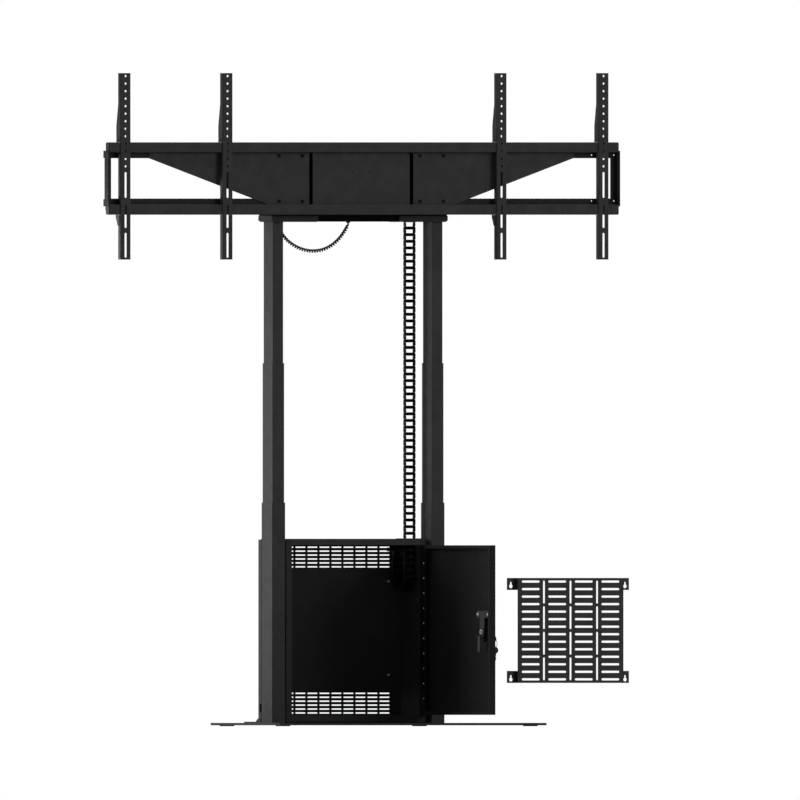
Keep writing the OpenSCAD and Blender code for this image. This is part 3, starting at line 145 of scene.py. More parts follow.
def powder_coat(name, level, roughness, specular):
    """Black powder coat: fine orange-peel grain, faint cloudiness in tone and gloss."""
    shade = Shade(name, grey(level), roughness, specular=specular)
    cloud = shade.noise(scale=9, detail=4)
    shade.join(shade.ramp(cloud, [(0.3, grey(level * 0.88)), (0.7, grey(level * 1.12))]),
               shade.surface.inputs["Base Color"])
    shade.join(shade.span(shade.noise(scale=28), roughness - 0.06, roughness + 0.08),
               shade.surface.inputs["Roughness"])
    shade.bump(shade.noise(scale=1500, detail=2, rough=0.6), strength=0.18, distance=0.0004)
    return shade.material


def moulded_plastic(name, level, roughness, specular):
    """Black moulded plastic: fine eroded grain and a few duller rubbed patches."""
    shade = Shade(name, grey(level), roughness, specular=specular)
    patches = shade.noise(scale=35, detail=4)
    shade.join(shade.ramp(patches, [(0.35, grey(level * 0.85)), (0.7, grey(level * 1.2))]),
               shade.surface.inputs["Base Color"])
    shade.join(shade.span(shade.noise(scale=80), roughness - 0.08, roughness + 0.1),
               shade.surface.inputs["Roughness"])
    shade.bump(shade.noise(scale=2200, detail=2), strength=0.12, distance=0.0003)
    return shade.material


def bright_steel(name, level=0.55, roughness=0.28, stretch=(1, 1, 1), metallic=1.0):
    """Zinc-plated steel: turned or rolled lines and a little uneven tone."""
    shade = Shade(name, grey(level), roughness, metallic=metallic)
    bright = min(1.0, level * 1.12)
    tone = shade.noise(scale=60, detail=4)
    shade.join(shade.ramp(tone, [(0.3, grey(level * 0.86)), (0.72, grey(bright))]),
               shade.surface.inputs["Base Color"])
    lines = shade.noise(scale=900, detail=2, rough=0.5, stretch=stretch)
    shade.join(shade.span(lines, roughness - 0.06, roughness + 0.1), shade.surface.inputs["Roughness"])
    shade.bump(lines, strength=0.05, distance=0.00004)
    return shade.material


def soft_rubber(name, level, roughness=0.6):
    """Black rubber or cable skin: matt, with a faint bloom."""
    shade = Shade(name, grey(level), roughness, specular=0.3)
    bloom = shade.noise(scale=90, detail=4)
    shade.join(shade.ramp(bloom, [(0.35, grey(level * 0.8)), (0.75, grey(level * 1.35))]),
               shade.surface.inputs["Base Color"])
    shade.join(shade.span(shade.noise(scale=140), roughness - 0.1, roughness + 0.1),
               shade.surface.inputs["Roughness"])
    shade.bump(shade.noise(scale=1800, detail=2), strength=0.1, distance=0.0003)
    return shade.material


FRAME_COAT = powder_coat("frame_powder_coat", 0.024, 0.55, 0.16)
COLUMN_COAT = powder_coat("column_powder_coat", 0.024, 0.55, 0.16)
BASE_COAT = powder_coat("base_powder_coat", 0.016, 0.55, 0.12)
BRACKET_COAT = powder_coat("bracket_powder_coat", 0.011, 0.55, 0.1)
CABINET_COAT = powder_coat("cabinet_powder_coat", 0.024, 0.6, 0.1)
# Cabinet top paler than the sides: a painted highlight along its top front edge, on the same powder coat
CABINET_TOP_HIGHLIGHT_COAT = powder_coat("cabinet_top_powder_coat", 0.036, 0.6, 0.1)
# Door darker than the cabinet: painted shade on the door's inner face, which has the same powder coat
DOOR_SHADE_COAT = powder_coat("door_powder_coat", 0.013, 0.6, 0.06)
BACK_COAT = powder_coat("back_wall_powder_coat", 0.026, 0.6, 0.05)
# Near-black hinge leaves: a dark hinge, and painted shade of the recess along the door's hinge side
HINGE_DARK_AND_SHADE_COAT = powder_coat("hinge_powder_coat", 0.004, 0.6, 0.05)
HEAD_COAT = powder_coat("head_powder_coat", 0.018, 0.55, 0.1)
# Near-black coat on the cross channel, uprights and spine plate: painted shade on the frame behind the
# head's plates
INNER_SHADE_COAT = powder_coat("inner_powder_coat", 0.003, 0.6, 0.02)
LOCK_STEEL = powder_coat("lock_grey_steel", 0.045, 0.45, 0.2)
PLASTIC = moulded_plastic("moulded_black_plastic", 0.012, 0.5, 0.15)
# Chain nylon darker than the other plastic: black nylon, and painted shade for the links inside the cabinet
CHAIN_NYLON_AND_SHADE = moulded_plastic("chain_black_nylon", 0.006, 0.55, 0.06)
# Near-black bars: painted shade between the chain's side plates
CHAIN_BAR_SHADE = moulded_plastic("chain_bar_nylon", 0.002, 0.6, 0.02)
STEEL = bright_steel("bright_zinc_steel", stretch=(1, 1, 14))
SCREW_STEEL = bright_steel("screw_zinc_steel", 0.75, 0.4, metallic=0.3)
# Near-black frame screws: black screws, and painted shade in their sockets and holes
BLACK_STEEL_AND_SHADE = powder_coat("blackened_screw_steel", 0.004, 0.6, 0.08)
RUBBER = soft_rubber("black_foot_rubber", 0.015)
CORD_SKIN = soft_rubber("black_cord_skin", 0.006, 0.55)

FINISHES = {
    FRAME_COAT: ["rail_top", "rail_low", "wing_left", "wing_right", "centre_plate",
                 "screen_arm_1", "screen_arm_2", "screen_arm_3", "screen_arm_4", "equipment_panel"],
    COLUMN_COAT: ["outer_tubes", "mid_tubes", "inner_tubes", "column_holders"],
    BASE_COAT: ["base_plate"],
    BRACKET_COAT: ["side_frames"],
    CABINET_COAT: ["cabinet_sides", "cabinet_floor", "cabinet_spacers"],
    CABINET_TOP_HIGHLIGHT_COAT: ["cabinet_top"],
    DOOR_SHADE_COAT: ["door_panel"],
    BACK_COAT: ["cabinet_back"],
    HINGE_DARK_AND_SHADE_COAT: ["hinge_leaf_fixed", "hinge_leaf_door"],
    HEAD_COAT: ["head_brackets"],
    INNER_SHADE_COAT: ["cross_channel", "uprights", "spine_plate"],
    LOCK_STEEL: ["lock_clamp", "latch_cam"],
    PLASTIC: ["outer_glides", "mid_glides", "spindle_plates", "spindle_nuts", "chain_collar",
              "chain_anchor_fixed", "chain_anchor_head", "cord_glands", "control_box", "door_handle",
              "lock_plate", "lock_case", "lock_key", "spare_key"],
    CHAIN_NYLON_AND_SHADE: ["chain_moving_run", "chain_bend", "chain_fixed_run"],
    STEEL: ["lower_screws", "spindle_left", "spindle_right", "drive_motors", "hinge_pin", "lock_plug"],
    SCREW_STEEL: ["holder_bolts", "panel_studs", "door_fasteners", "cam_nut"],
    BLACK_STEEL_AND_SHADE: ["frame_screws"],
    RUBBER: ["floor_feet"],
    CORD_SKIN: ["curly_cord"],
}
for finish, names in FINISHES.items():
    for name in names:
        nodes[name].data.materials.clear()
        nodes[name].data.materials.append(finish)


# Camera at the photograph's angle: a parallel view, level with the floor

VIEW_AZIMUTH = math.radians(-28.04)
VIEW_WIDTH = 2.6592
VIEW_RIGHT = 0.15605
VIEW_HEIGHT = 1.0843
VIEW_BACK = 6.0


def add_camera():
    """A parallel camera that looks at the lift from the photograph's side."""
    data = bpy.data.cameras.new("level_view")
    data.type = "ORTHO"
    data.ortho_scale = VIEW_WIDTH
    camera = bpy.data.objects.new("level_view", data)
    bpy.context.scene.collection.objects.link(camera)
    right = Vector((math.cos(VIEW_AZIMUTH), math.sin(VIEW_AZIMUTH), 0))
    ahead = Vector((-math.sin(VIEW_AZIMUTH), math.cos(VIEW_AZIMUTH), 0))
    middle = Vector((0, AXIS_Y * MM, VIEW_HEIGHT)) + right * VIEW_RIGHT
    camera.location = middle - ahead * VIEW_BACK
    camera.rotation_euler = ahead.to_track_quat("-Z", "Y").to_euler()
    data.clip_end = 4 * VIEW_BACK
    bpy.context.scene.camera = camera


add_camera()


# Mesh helpers


def mesh_piece(name, mesh, material, body):
    """An object at the origin, with the given material and riding on the given body, each only when given.
    """
    piece = bpy.data.objects.new(name, mesh)
    bpy.context.scene.collection.objects.link(piece)
    if material:
        mesh.materials.clear()
        mesh.materials.append(material)
    if body:
        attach(piece, body)
    return piece


def bridge(bm, one, two):
    """A closed band of faces between two loops with as many points each."""
    for i in range(len(one)):
        j = (i + 1) % len(one)
        bm.faces.new((one[i], one[j], two[j], two[i]))


def prism(bm, outline, low, high, to_point):
    """Adds a straight prism: outline points at two levels, each placed by to_point(point, level)."""
    ends = [[bm.verts.new(to_point(p, level)) for p in outline] for level in (low, high)]
    bm.faces.new(ends[0][::-1])
    bm.faces.new(ends[1])
    bridge(bm, ends[0], ends[1])


def arc(middle, radius, start, stop, steps):
    """Points of an arc, both ends included."""
    turn = (stop - start) / steps
    angles = [start + turn * i for i in range(steps + 1)]
    return [(middle[0] + radius * math.cos(a), middle[1] + radius * math.sin(a)) for a in angles]


def box_outline(x0, y0, x1, y1):
    return [(x0, y0), (x1, y0), (x1, y1), (x0, y1)]


SHARP = math.radians(50)


def finish_mesh(bm, name, bevel=0.0, segments=1):
    """Closes a bmesh into a mesh with outward normals, in metres, with small rounded edges."""
    bmesh.ops.recalc_face_normals(bm, faces=bm.faces)
    if bevel:
        sharp = [e for e in bm.edges if len(e.link_faces) == 2 and e.calc_face_angle() > SHARP]
        bmesh.ops.bevel(bm, geom=sharp, offset=bevel, segments=segments, affect="EDGES", profile=0.5)
    bm.transform(Matrix.Scale(MM, 4))
    mesh = bpy.data.meshes.new(name)
    bm.to_mesh(mesh)
    bm.free()
    return mesh


def shape_object(name, mesh):
    """An object that a tree copies; it is removed once the copies are made."""
    shape = bpy.data.objects.new(name, mesh)
    bpy.context.scene.collection.objects.link(shape)
    return shape


# Geometry node trees


def size_tree(name, sizes):
    """A geometry node tree with a named input for each size, and its input node."""
    tree = bpy.data.node_groups.new(name, "GeometryNodeTree")
    tree.interface.new_socket("Geometry", in_out="INPUT", socket_type="NodeSocketGeometry")
    for key, value in sizes.items():
        kind = "NodeSocketInt" if isinstance(value, int) else "NodeSocketFloat"
        tree.interface.new_socket(key, in_out="INPUT", socket_type=kind)
    tree.interface.new_socket("Geometry", in_out="OUTPUT", socket_type="NodeSocketGeometry")
    return tree, tree.nodes.new("NodeGroupInput")


def tree_node(tree, kind, **values):
    """A new node of a tree, with some of its properties set."""
    made = tree.nodes.new(kind)
    for key, value in values.items():
        setattr(made, key, value)
    return made


def math_node(tree, operation, *values):
    """The result of a math node whose inputs are numbers or other nodes' outputs."""
    made = tree_node(tree, "ShaderNodeMath", operation=operation)
    for socket, value in zip(made.inputs, values):
        if isinstance(value, float):
            socket.default_value = value
        else:
            tree.links.new(value, socket)
    return made.outputs[0]


def copies(tree, points, shape):
    """A copy of a shape on each point, as the node that places them."""
    info = tree.nodes.new("GeometryNodeObjectInfo")
    info.inputs["Object"].default_value = shape
    place = tree.nodes.new("GeometryNodeInstanceOnPoints")
    tree.links.new(points, place.inputs["Points"])
    tree.links.new(info.outputs["Geometry"], place.inputs["Instance"])
    return place


def close_tree(tree, geometry, material, marked=None):
    """Ends a tree in Realize Instances and Set Material; faces marked by name take a second material."""
    real = tree.nodes.new("GeometryNodeRealizeInstances")
    paint = tree.nodes.new("GeometryNodeSetMaterial")
    paint.inputs["Material"].default_value = material
    out = tree.nodes.new("NodeGroupOutput")
    tree.links.new(geometry, real.inputs["Geometry"])
    tree.links.new(real.outputs["Geometry"], paint.inputs["Geometry"])
    done = paint.outputs["Geometry"]
    if marked:
        name, second = marked
        chosen = tree_node(tree, "GeometryNodeInputNamedAttribute", data_type="INT")
        chosen.inputs["Name"].default_value = name
        extra = tree.nodes.new("GeometryNodeSetMaterial")
        extra.inputs["Material"].default_value = second
        tree.links.new(done, extra.inputs["Geometry"])
        tree.links.new(chosen.outputs["Attribute"], extra.inputs["Selection"])
        done = extra.outputs["Geometry"]
    tree.links.new(done, out.inputs["Geometry"])


def grown_mesh(name, tree, sizes, points=()):
    """Runs a tree on some points with its sizes set and returns the result as a plain mesh."""
    start = bpy.data.meshes.new(name + "_holder")
    start.from_pydata([tuple(point) for point in points], [], [])
    holder = bpy.data.objects.new(name + "_holder", start)
    bpy.context.scene.collection.objects.link(holder)
    modifier = holder.modifiers.new("grow", "NODES")
    modifier.node_group = tree
    for item in tree.interface.items_tree:
        if item.item_type == "SOCKET" and item.in_out == "INPUT" and item.name in sizes:
            modifier[item.identifier] = sizes[item.name]
    bpy.context.view_layer.update()
    graph = bpy.context.evaluated_depsgraph_get()
    mesh = bpy.data.meshes.new_from_object(holder.evaluated_get(graph))
    mesh.name = name
    bpy.data.objects.remove(holder)
    return mesh


# Cable chain

ARC_STEPS = 12


def link_prototype():
    """One link hung from its first pivot at the origin: inner plates above, outer below, two bars."""
    half = CHAIN["inside"] / 2
    plate = CHAIN["plate"]
    outer = half + plate + CHAIN["clear"]
    radius = CHAIN["depth"] / 2
    pitch = CHAIN["pitch"]
    step_top = -radius - LINK["play"]
    step_low = radius + LINK["play"] - pitch
    edge = radius - LINK["waist"]
    lean = math.acos(edge / radius)
    lap = LINK["lap"]
    upper = arc((0, 0), radius, -lean, math.pi + lean, ARC_STEPS) + [(-edge, step_low), (edge, step_low)]
    lower = arc((0, -pitch), radius, math.pi - lean, 2 * math.pi + lean, ARC_STEPS)
    lower += [(edge, step_top), (-edge, step_top)]
    waist = box_outline(-edge, step_low, edge, step_top)
    last = ARC_STEPS - 1
    boss = arc((0, -pitch), LINK["boss_r"], 0, 2 * math.pi * last / ARC_STEPS, last)
    outside = outer + plate
    bm = bmesh.new()
    is_bar = bm.faces.layers.int.new("is_bar")
    for side in (-1, 1):
        def flat(point, level):
            return (side * level, point[0], point[1])
        prism(bm, upper, half, half + plate, flat)
        prism(bm, lower, outer, outside, flat)
        prism(bm, waist, half + plate - lap, outer + lap, flat)
        prism(bm, boss, outside - LINK["boss_sink"], outside + LINK["boss_rise"], flat)
    plain = len(bm.faces)
    reach = half + LINK["bar_lap"]
    low = -(pitch + LINK["bar_h"]) / 2
    bar_outline = box_outline(-reach, low, reach, low + LINK["bar_h"])
    for side in (-1, 1):
        def bar(point, level):
            return (point[0], side * level, point[1])
        prism(bm, bar_outline, radius - LINK["bar_t"], radius, bar)
    bm.faces.ensure_lookup_table()
    for face in bm.faces[plain:]:
        face[is_bar] = 1
    return finish_mesh(bm, "chain_link_shape", LINK["rounding"])


def run_tree(shape):
    """Links in a straight row, one pitch apart."""
    tree, given = size_tree("chain_run", {"Links": 1, "Pitch": 1.0})
    line = tree_node(tree, "GeometryNodeMeshLine", mode="OFFSET")
    step = tree.nodes.new("ShaderNodeCombineXYZ")
    tree.links.new(given.outputs["Links"], line.inputs["Count"])
    tree.links.new(given.outputs["Pitch"], step.inputs["Z"])
    tree.links.new(step.outputs["Vector"], line.inputs["Offset"])
    place = copies(tree, line.outputs["Mesh"], shape)
    # Links in the chain nylon darkened as painted shade; bars in the near-black painted shade
    close_tree(tree, place.outputs["Instances"], CHAIN_NYLON_AND_SHADE, ("is_bar", CHAIN_BAR_SHADE))
    return tree


def bend_tree(shape):
    """Links round a half turn: each one starts on the pivots' circle and is turned by its share."""
    tree, given = size_tree("chain_bend", {"Links": 1, "Radius": 1.0, "Step": 1.0})
    line = tree_node(tree, "GeometryNodeMeshLine", mode="OFFSET")
    tree.links.new(given.outputs["Links"], line.inputs["Count"])
    index = tree.nodes.new("GeometryNodeInputIndex")
    angle = math_node(tree, "MULTIPLY", index.outputs["Index"], given.outputs["Step"])
    inward = math_node(tree, "MULTIPLY", given.outputs["Radius"], -1.0)
    spot = tree.nodes.new("ShaderNodeCombineXYZ")
    for axis, operation in (("Y", "COSINE"), ("Z", "SINE")):
        turn = math_node(tree, operation, angle)
        tree.links.new(math_node(tree, "MULTIPLY", turn, inward), spot.inputs[axis])
    move = tree.nodes.new("GeometryNodeSetPosition")
    tree.links.new(line.outputs["Mesh"], move.inputs["Geometry"])
    tree.links.new(spot.outputs["Vector"], move.inputs["Position"])
    half = math_node(tree, "MULTIPLY", given.outputs["Step"], 0.5)
    turned = tree.nodes.new("ShaderNodeCombineXYZ")
    tree.links.new(math_node(tree, "ADD", angle, half), turned.inputs["X"])
    place = copies(tree, move.outputs["Geometry"], shape)
    tree.links.new(turned.outputs["Vector"], place.inputs["Rotation"])
    # Links in the chain nylon darkened as painted shade; bars in the near-black painted shade
    close_tree(tree, place.outputs["Instances"], CHAIN_NYLON_AND_SHADE, ("is_bar", CHAIN_BAR_SHADE))
    return tree


def add_chain():
    """The moving run, the bend and the fixed end of the chain, all made of the same link."""
    shape = shape_object("chain_link_shape", link_prototype())
    straight = run_tree(shape)
    pitch = CHAIN["pitch"] * MM
    x, y = CHAIN["x"], CHAIN["y"]
    run = grown_mesh("cable_chain_run", straight, {"Links": CHAIN["run"], "Pitch": -pitch})
    run.transform(Matrix.Translation(at(x, y, CHAIN["top"])))
    run_piece = mesh_piece("cable_chain_run", run, None, None)
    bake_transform(run_piece)
    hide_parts("chain_moving_run")
    sizes = {"Links": CHAIN["bend"], "Radius": BEND_R * MM, "Step": BEND_STEP}
    bend = grown_mesh("cable_chain_bend", bend_tree(shape), sizes)
    bend.transform(Matrix.Translation(at(x, y + BEND_R, BEND_Z)))
    bend_piece = mesh_piece("cable_chain_bend", bend, None, "lift_mid")
    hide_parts("chain_bend")
    back_y = y + 2 * BEND_R
    fixed = grown_mesh("cable_chain_fixed", straight, {"Links": CHAIN["fixed"], "Pitch": -pitch})
    fixed.transform(Matrix.Translation(at(x, back_y, BEND_Z)) @ Matrix.Rotation(math.pi, 4, "X"))
    fixed_piece = mesh_piece("cable_chain_fixed", fixed, None, None)
    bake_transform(fixed_piece)
    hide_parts("chain_fixed_run")
    bpy.data.objects.remove(shape)


add_chain()


# Curly cord between the left head bracket and the cross channel

CURL_POINTS = 16
NEARBY = 0.001


def hanging_point(t):
    """A point of the line that the curls follow, from its start at 0 to its end at 1."""
    drop = Vector((0, 0, CORD["lead"] * MM))
    start = at(*CORD["start"]) - drop
    end = at(*CORD["end"]) - drop
    lean = math.radians(CORD["start_lean"])
    near = start + CORD["start_pull"] * MM * Vector((math.sin(lean), 0, -math.cos(lean)))
    lean = math.radians(CORD["end_lean"])
    far = end - CORD["end_pull"] * MM * Vector((math.sin(lean), 0, math.cos(lean)))
    s = 1 - t
    return start * s**3 + 3 * near * s * s * t + 3 * far * s * t * t + end * t**3


def even_shares(count, steps=800):
    """Curve parameters that cut the hanging line into equal lengths."""
    points = [hanging_point(i / steps) for i in range(steps + 1)]
    sums = [0.0]
    for a, b in zip(points, points[1:]):
        sums.append(sums[-1] + (b - a).length)
    shares, i = [], 0
    for k in range(count + 1):
        goal = sums[-1] * k / count
        while i < steps - 1 and sums[i + 1] < goal:
            i += 1
        shares.append((i + (goal - sums[i]) / (sums[i + 1] - sums[i])) / steps)
    return shares


def cord_points():
    """Points of the wire: straight out of each gland, then round the hanging line in curls."""
    rings = CORD["curls"] * CURL_POINTS
    radius = (CORD["curl"] - CORD["wire"]) / 2 * MM
    side = Vector((0, 1, 0))
    points = [at(*CORD["start"])]
    for i, t in enumerate(even_shares(rings)):
        ahead = (hanging_point(min(t + NEARBY, 1)) - hanging_point(max(t - NEARBY, 0))).normalized()
        up = ahead.cross(side)
        opened = min(1, i / CURL_POINTS, (rings - i) / CURL_POINTS)
        angle = 2 * math.pi * i / CURL_POINTS
        points.append(hanging_point(t) + radius * opened * (side * math.cos(angle) + up * math.sin(angle)))
    points.append(at(*CORD["end"]))
    return points


def add_cord():
    """The curly cord as a round wire along its points, carried by the head."""
    points = cord_points()
    data = bpy.data.curves.new("curly_cord_line", "CURVE")
    data.dimensions = "3D"
    data.bevel_depth = CORD["wire"] / 2 * MM
    data.bevel_resolution = 3
    data.use_fill_caps = True
    spline = data.splines.new("POLY")
    spline.points.add(len(points) - 1)
    for target, point in zip(spline.points, points):
        target.co = (*point, 1)
    spline.use_smooth = True
    data.materials.append(CORD_SKIN)
    cord = bpy.data.objects.new("curly_lead", data)
    bpy.context.scene.collection.objects.link(cord)
    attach(cord, "lift_head")
    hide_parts("curly_cord")


add_cord()


# Door hardware: domed hinge rivets and the two socket screws of the lock's clamp

RIVET = dict(head=3.0, rise=1.2, shank=1.59, depth=4.0, rings=16)
SCREW = dict(head=5.0, rise=3.5, shank=2.5, depth=12.0, socket=2.6, socket_depth=2.0, socket_rim=0.42,
             rings=24)
# Outlines of the two heads, as shares of the head's radius and rise
RIVET_DOME = ((0.25, 0.0), (0.6, 0.12), (0.85, 0.42), (1.0, 0.85), (1.0, 1.0))
SCREW_CROWN = ((0.72, 0.0), (0.94, 0.25), (1.0, 0.6), (1.0, 1.0))
# A fastener that stands higher than this is a screw; points nearer than this are one point
SCREW_SPAN = 8.0
SAME_SPOT = 1e-6


def solid_boxes(node):
    """Lowest and highest corner of each separate solid of a CAD node."""
    bm = bmesh.new()
    bm.from_mesh(nodes[node].data)
    bmesh.ops.remove_doubles(bm, verts=bm.verts, dist=SAME_SPOT)
    bm.verts.index_update()
    seen, boxes = set(), []
    for first in bm.verts:
        if first.index in seen:
            continue
        seen.add(first.index)
        group = [first]
        for vert in group:
            for edge in vert.link_edges:
                other = edge.other_vert(vert)
                if other.index not in seen:
                    seen.add(other.index)
                    group.append(other)
        spans = [[vert.co[k] for vert in group] for k in range(3)]
        boxes.append((Vector([min(span) for span in spans]), Vector([max(span) for span in spans])))
    bm.free()
    return boxes


def turned_shape(name, profile, rings, reach=None):
    """A turned solid about X, its head towards -X; reach(k, angle) may give a profile point's radius."""
    bm = bmesh.new()
    loops = []
    for k, (radius, depth) in enumerate(profile):
        loop = []
        for i in range(rings):
            angle = 2 * math.pi * i / rings
            r = reach and reach(k, angle) or radius
            loop.append(bm.verts.new((depth, r * math.cos(angle), r * math.sin(angle))))
        loops.append(loop)
    for one, two in zip(loops, loops[1:]):
        bridge(bm, one, two)
    bm.faces.new(loops[0])
    bm.faces.new(loops[-1])
    return shape_object(name, finish_mesh(bm, name))


def head_and_shank(outline, sizes):
    """A profile from a head's outline in shares, with its shank below."""
    head, rise, shank = sizes["head"], sizes["rise"], sizes["shank"]
    profile = [(head * wide, rise * deep) for wide, deep in outline]
    return profile + [(shank, rise), (shank, rise + sizes["depth"])]


def rivet_shape():
    return turned_shape("hinge_rivet_shape", head_and_shank(RIVET_DOME, RIVET), RIVET["rings"])


def clamp_screw_shape():
    """A socket screw: the first two points of its profile follow the six-sided socket."""
    socket = SCREW["socket"]
    well = [(socket, SCREW["socket_depth"]), (socket, SCREW["socket_rim"])]

    def six_sided(k, angle):
        if k >= len(well):
            return None
        turn = angle % (math.pi / 3) - math.pi / 6
        return socket * math.cos(math.pi / 6) / math.cos(turn)
    profile = well + head_and_shank(SCREW_CROWN, SCREW)
    return turned_shape("clamp_screw_shape", profile, SCREW["rings"], six_sided)


def spread_tree(name, shape, material):
    """One copy of a shape on each point that the tree is given, at its scale."""
    tree, given = size_tree(name, {"Scale": 1.0})
    place = copies(tree, given.outputs["Geometry"], shape)
    size = tree.nodes.new("ShaderNodeCombineXYZ")
    for axis in "XYZ":
        tree.links.new(given.outputs["Scale"], size.inputs[axis])
    tree.links.new(size.outputs["Vector"], place.inputs["Scale"])
    close_tree(tree, place.outputs["Instances"], material)
    return tree


def add_door_hardware():
    """Puts a rivet or a screw where each of the door's plain fasteners is."""
    boxes = solid_boxes("door_fasteners")
    wide = [box for box in boxes if box[1].z - box[0].z > SCREW_SPAN * MM]
    small = [box for box in boxes if box not in wide]
    for name, shape, group in (("hinge_rivets", rivet_shape(), small),
                               ("clamp_screws", clamp_screw_shape(), wide)):
        points = [Vector((low.x, (low.y + high.y) / 2, (low.z + high.z) / 2)) for low, high in group]
        mesh = grown_mesh(name, spread_tree(name, shape, SCREW_STEEL), {"Scale": 1.0}, points)
        piece = mesh_piece(name, mesh, None, "door")
        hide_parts("door_fasteners")
        bpy.data.objects.remove(shape)


add_door_hardware()


# Rails: channels folded from sheet, open at the back, with closed ends and rounded folds

FOLD_STEPS = 5
CORNER_STEPS = 4
LEAST_CORNER = 0.4


def rail_loop(bm, inset, y, z):
    """A rounded outline of the rail, drawn in by inset, at depth y."""
    corner = max(RAIL["corner"] - inset, LEAST_CORNER)
    wide = RAIL["length"] / 2 - inset - corner
    high = RAIL["height"] / 2 - inset - corner
    points = []
    for quarter, (sx, sz) in enumerate(((1, 1), (-1, 1), (-1, -1), (1, -1))):
        start = quarter * math.pi / 2
        points += arc((sx * wide, sz * high), corner, start, start + math.pi / 2, CORNER_STEPS)
    return [bm.verts.new((px, y + AXIS_Y, z + pz)) for px, pz in points]


def add_rail(name, node, low):
    """A rail from its inner wall, round its back edge and outside, to its folded front."""
    middle = low + RAIL["height"] / 2
    fold, sheet, front, back = RAIL["fold"], RAIL["sheet"], RAIL["front"], RAIL["back"]
    levels = [(sheet, front + sheet), (sheet, back), (0.0, back), (0.0, front + fold)]
    for k in range(1, FOLD_STEPS + 1):
        turn = math.pi / 2 * k / FOLD_STEPS
        levels.append((fold * (1 - math.cos(turn)), front + fold * (1 - math.sin(turn))))
    bm = bmesh.new()
    loops = [rail_loop(bm, inset, y, middle) for inset, y in levels]
    for one, two in zip(loops, loops[1:]):
        bridge(bm, one, two)
    bm.faces.new(loops[0])
    bm.faces.new(loops[-1])
    piece = mesh_piece(name, finish_mesh(bm, name), FRAME_COAT, "lift_head")
    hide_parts(node)


add_rail("upper_rail_channel", "rail_top", RAIL["top"])
add_rail("lower_rail_channel", "rail_low", RAIL["low"])


# Keys: the one in the lock, and a spare one that hangs from it on a ring


def add_head(bm, to_point, count=40):
    """A key's round head with the ring's hole in it, the blade side towards +X."""
    hole, bow = -KEY["hole_off"], KEY["head_r"]
    loops = []
    for level in (-KEY["head_t"] / 2, KEY["head_t"] / 2):
        inner, outer = [], []
        for i in range(count):
            a = 2 * math.pi * i / count
            c, d = math.cos(a), math.sin(a)
            reach = -hole * c + math.sqrt(bow * bow - hole * hole * d * d)
            inner.append(bm.verts.new(to_point(hole + KEY["hole_r"] * c, KEY["hole_r"] * d, level)))
            outer.append(bm.verts.new(to_point(hole + reach * c, reach * d, level)))
        loops += [inner, outer]
    low_in, low_out, top_in, top_out = loops
    for one, two in ((low_in, low_out), (top_out, top_in), (low_out, top_out), (top_in, low_in)):
        bridge(bm, one, two)


def add_blade(bm, to_point, reach):
    """A key's flat blade with cuts along one edge."""
    half = KEY["blade_w"] / 2
    start = KEY["head_r"] - KEY["root"]
    point, slant, flank = KEY["point"], KEY["slant"], KEY_CUTS["flank"]
    outline = [(start, -half), (reach - point, -half), (reach, point - half), (reach, slant),
               (reach - slant, half - KEY["slant_drop"])]
    for i, depth in enumerate(KEY_CUTS["depths"]):
        cut = reach - KEY_CUTS["first"] - i * KEY_CUTS["step"]
        if cut - 2 * flank > KEY["head_r"] + KEY_CUTS["room"]:
            outline += [(cut, half), (cut - flank, half - depth), (cut - 2 * flank, half - depth),
                        (cut - 3 * flank, half)]
    outline.append((start, half))

    def flat(point, level):
        return to_point(point[0], point[1], level)
    prism(bm, outline, -KEY["blade_t"] / 2, KEY["blade_t"] / 2, flat)


def add_wire_ring(bm, middle, around=48, sides=10):
    """A round wire ring that stands across the door, in the plane of Y and Z."""
    x, y, z = middle
    loops = []
    for i in range(around):
        a = 2 * math.pi * i / around
        loop = []
        for k in range(sides):
            b = 2 * math.pi * k / sides
            r = KEY["ring_r"] + KEY["wire"] * math.cos(b)
            spot = (x + KEY["wire"] * math.sin(b), y + r * math.cos(a), z + r * math.sin(a))
            loop.append(bm.verts.new(spot))
        loops.append(loop)
    for one, two in zip(loops, loops[1:] + loops[:1]):
        bridge(bm, two, one)


def mark_steel(bm, first):
    """Gives the faces from the first one on the key's second material."""
    bm.faces.ensure_lookup_table()
    for face in bm.faces[first:]:
        face.material_index = 1


def key_piece(name, bm, node):
    """Finishes a key that was drawn in the source's millimetres: plastic head, bright blade."""
    bm.transform(Matrix.Translation((0, AXIS_Y, 0)))
    mesh = finish_mesh(bm, name, KEY["rounding"], 2)
    piece = mesh_piece(name, mesh, PLASTIC, "key")
    mesh.materials.append(SCREW_STEEL)
    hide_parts(node)


def add_keys():
    x, y, z = KEY["head_x"], KEY["y"], KEY["plug_z"]

    def turned_in(along, across, level):
        return (x - along, y + level, z + across)
    bm = bmesh.new()
    add_head(bm, turned_in)
    plain = len(bm.faces)
    add_blade(bm, turned_in, KEY["short"])
    mark_steel(bm, plain)
    key_piece("door_key", bm, "lock_key")
    ring_x = x + KEY["hole_off"]
    ring_z = z - KEY["slack"] - KEY["ring_r"]
    head_z = ring_z - KEY["ring_r"] - KEY["slack"] - KEY["hole_off"]

    def hung(along, across, level):
        return (ring_x + across, y + level, head_z - along)
    bm = bmesh.new()
    add_head(bm, hung)
    plain = len(bm.faces)
    add_blade(bm, hung, KEY["long"])
    add_wire_ring(bm, (ring_x, y, ring_z))
    mark_steel(bm, plain)
    key_piece("spare_door_key", bm, "spare_key")


add_keys()


# Light, world and floor

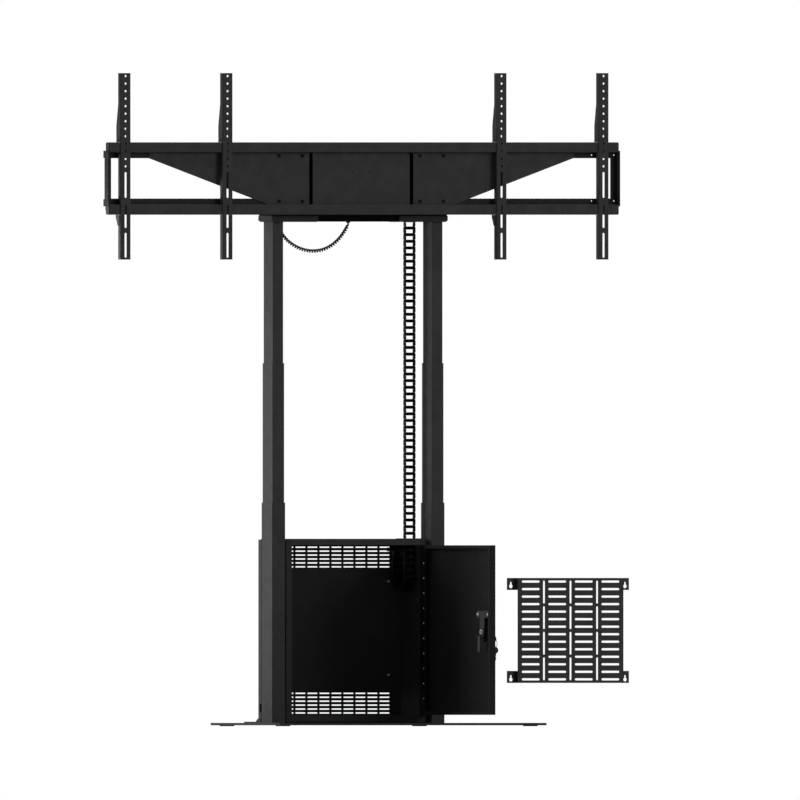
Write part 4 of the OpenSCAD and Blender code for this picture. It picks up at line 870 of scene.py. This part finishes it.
# Place, aim, size and power of each lamp, in metres and watts
LAMPS = {
    "side_key": ((-1.45, 0.75, 0.85), (0, 0.1, 0.85), (0.6, 1.7), 28.0),
    "front_fill": ((7.0, -13.0, 5.0), (0, 0, 1.1), (5.0, 5.0), 500.0),
    "top_soft": ((0.0, 0.0, 5.5), (0, 0, 1.0), (4.0, 4.0), 75.0),
    "back_soft": ((4.5, 2.5, 2.5), (0, 0.1, 1.0), (3.0, 3.0), 130.0),
}
WORLD_DIM = 0.15
FLOOR = dict(reach=40.0, tone=(0.86, 0.86, 0.87, 1), roughness=0.8, glow=0.7)
WHITE = (1, 1, 1, 1)


def add_lamp(name, where, towards, size, power):
    """A soft rectangular lamp that the camera doesn't see."""
    data = bpy.data.lights.new(name, "AREA")
    data.shape = "RECTANGLE"
    data.size, data.size_y = size
    data.energy = power
    lamp = bpy.data.objects.new(name, data)
    bpy.context.scene.collection.objects.link(lamp)
    lamp.location = where
    lamp.rotation_euler = (Vector(towards) - Vector(where)).to_track_quat("-Z", "Y").to_euler()
    lamp.visible_camera = False
    return lamp


def keep_off(lamp, thing):
    """Keeps a near lamp's bright patch off the floor."""
    unlit = bpy.data.collections.new(lamp.name + "_unlit")
    unlit.objects.link(thing)
    lamp.light_linking.receiver_collection = unlit
    unlit.collection_objects[0].light_linking.link_state = "EXCLUDE"


def add_world():
    """A dim world that looks white to the camera and in reflections."""
    world = bpy.data.worlds.new("pale_studio")
    bpy.context.scene.world = world
    world.use_nodes = True
    tree = world.node_tree
    path = tree.nodes.new("ShaderNodeLightPath").outputs
    mirrored = math_node(tree, "MAXIMUM", path["Is Glossy Ray"], path["Is Transmission Ray"])
    seen = math_node(tree, "MAXIMUM", path["Is Camera Ray"], mirrored)
    dim = tree.nodes["Background"]
    bright = tree.nodes.new("ShaderNodeBackground")
    for background, strength in ((dim, WORLD_DIM), (bright, 1.0)):
        background.inputs["Color"].default_value = WHITE
        background.inputs["Strength"].default_value = strength
    mix = tree.nodes.new("ShaderNodeMixShader")
    tree.links.new(seen, mix.inputs["Fac"])
    tree.links.new(dim.outputs[0], mix.inputs[1])
    tree.links.new(bright.outputs[0], mix.inputs[2])
    tree.links.new(mix.outputs[0], tree.nodes["World Output"].inputs["Surface"])


def add_floor():
    """A pale floor that keeps the object's shadow."""
    mesh = bpy.data.meshes.new("pale_floor")
    reach = FLOOR["reach"]
    corners = [(-reach, -reach, 0), (reach, -reach, 0), (reach, reach, 0), (-reach, reach, 0)]
    mesh.from_pydata(corners, [], [(0, 1, 2, 3)])
    floor = bpy.data.objects.new("pale_floor", mesh)
    bpy.context.scene.collection.objects.link(floor)
    material = bpy.data.materials.new("pale_floor")
    material.use_nodes = True
    tree = material.node_tree
    surface = tree.nodes["Principled BSDF"]
    surface.inputs["Base Color"].default_value = FLOOR["tone"]
    surface.inputs["Roughness"].default_value = FLOOR["roughness"]
    glow = tree.nodes.new("ShaderNodeEmission")
    glow.inputs["Color"].default_value = WHITE
    path = tree.nodes.new("ShaderNodeLightPath")
    share = math_node(tree, "MULTIPLY", path.outputs["Is Camera Ray"], FLOOR["glow"])
    mix = tree.nodes.new("ShaderNodeMixShader")
    tree.links.new(share, mix.inputs["Fac"])
    tree.links.new(surface.outputs[0], mix.inputs[1])
    tree.links.new(glow.outputs[0], mix.inputs[2])
    tree.links.new(mix.outputs[0], tree.nodes["Material Output"].inputs["Surface"])
    mesh.materials.append(material)
    return floor


lamps = {name: add_lamp(name, *facts) for name, facts in LAMPS.items()}
add_world()
keep_off(lamps["side_key"], add_floor())
bpy.context.scene.view_settings.view_transform = "Standard"
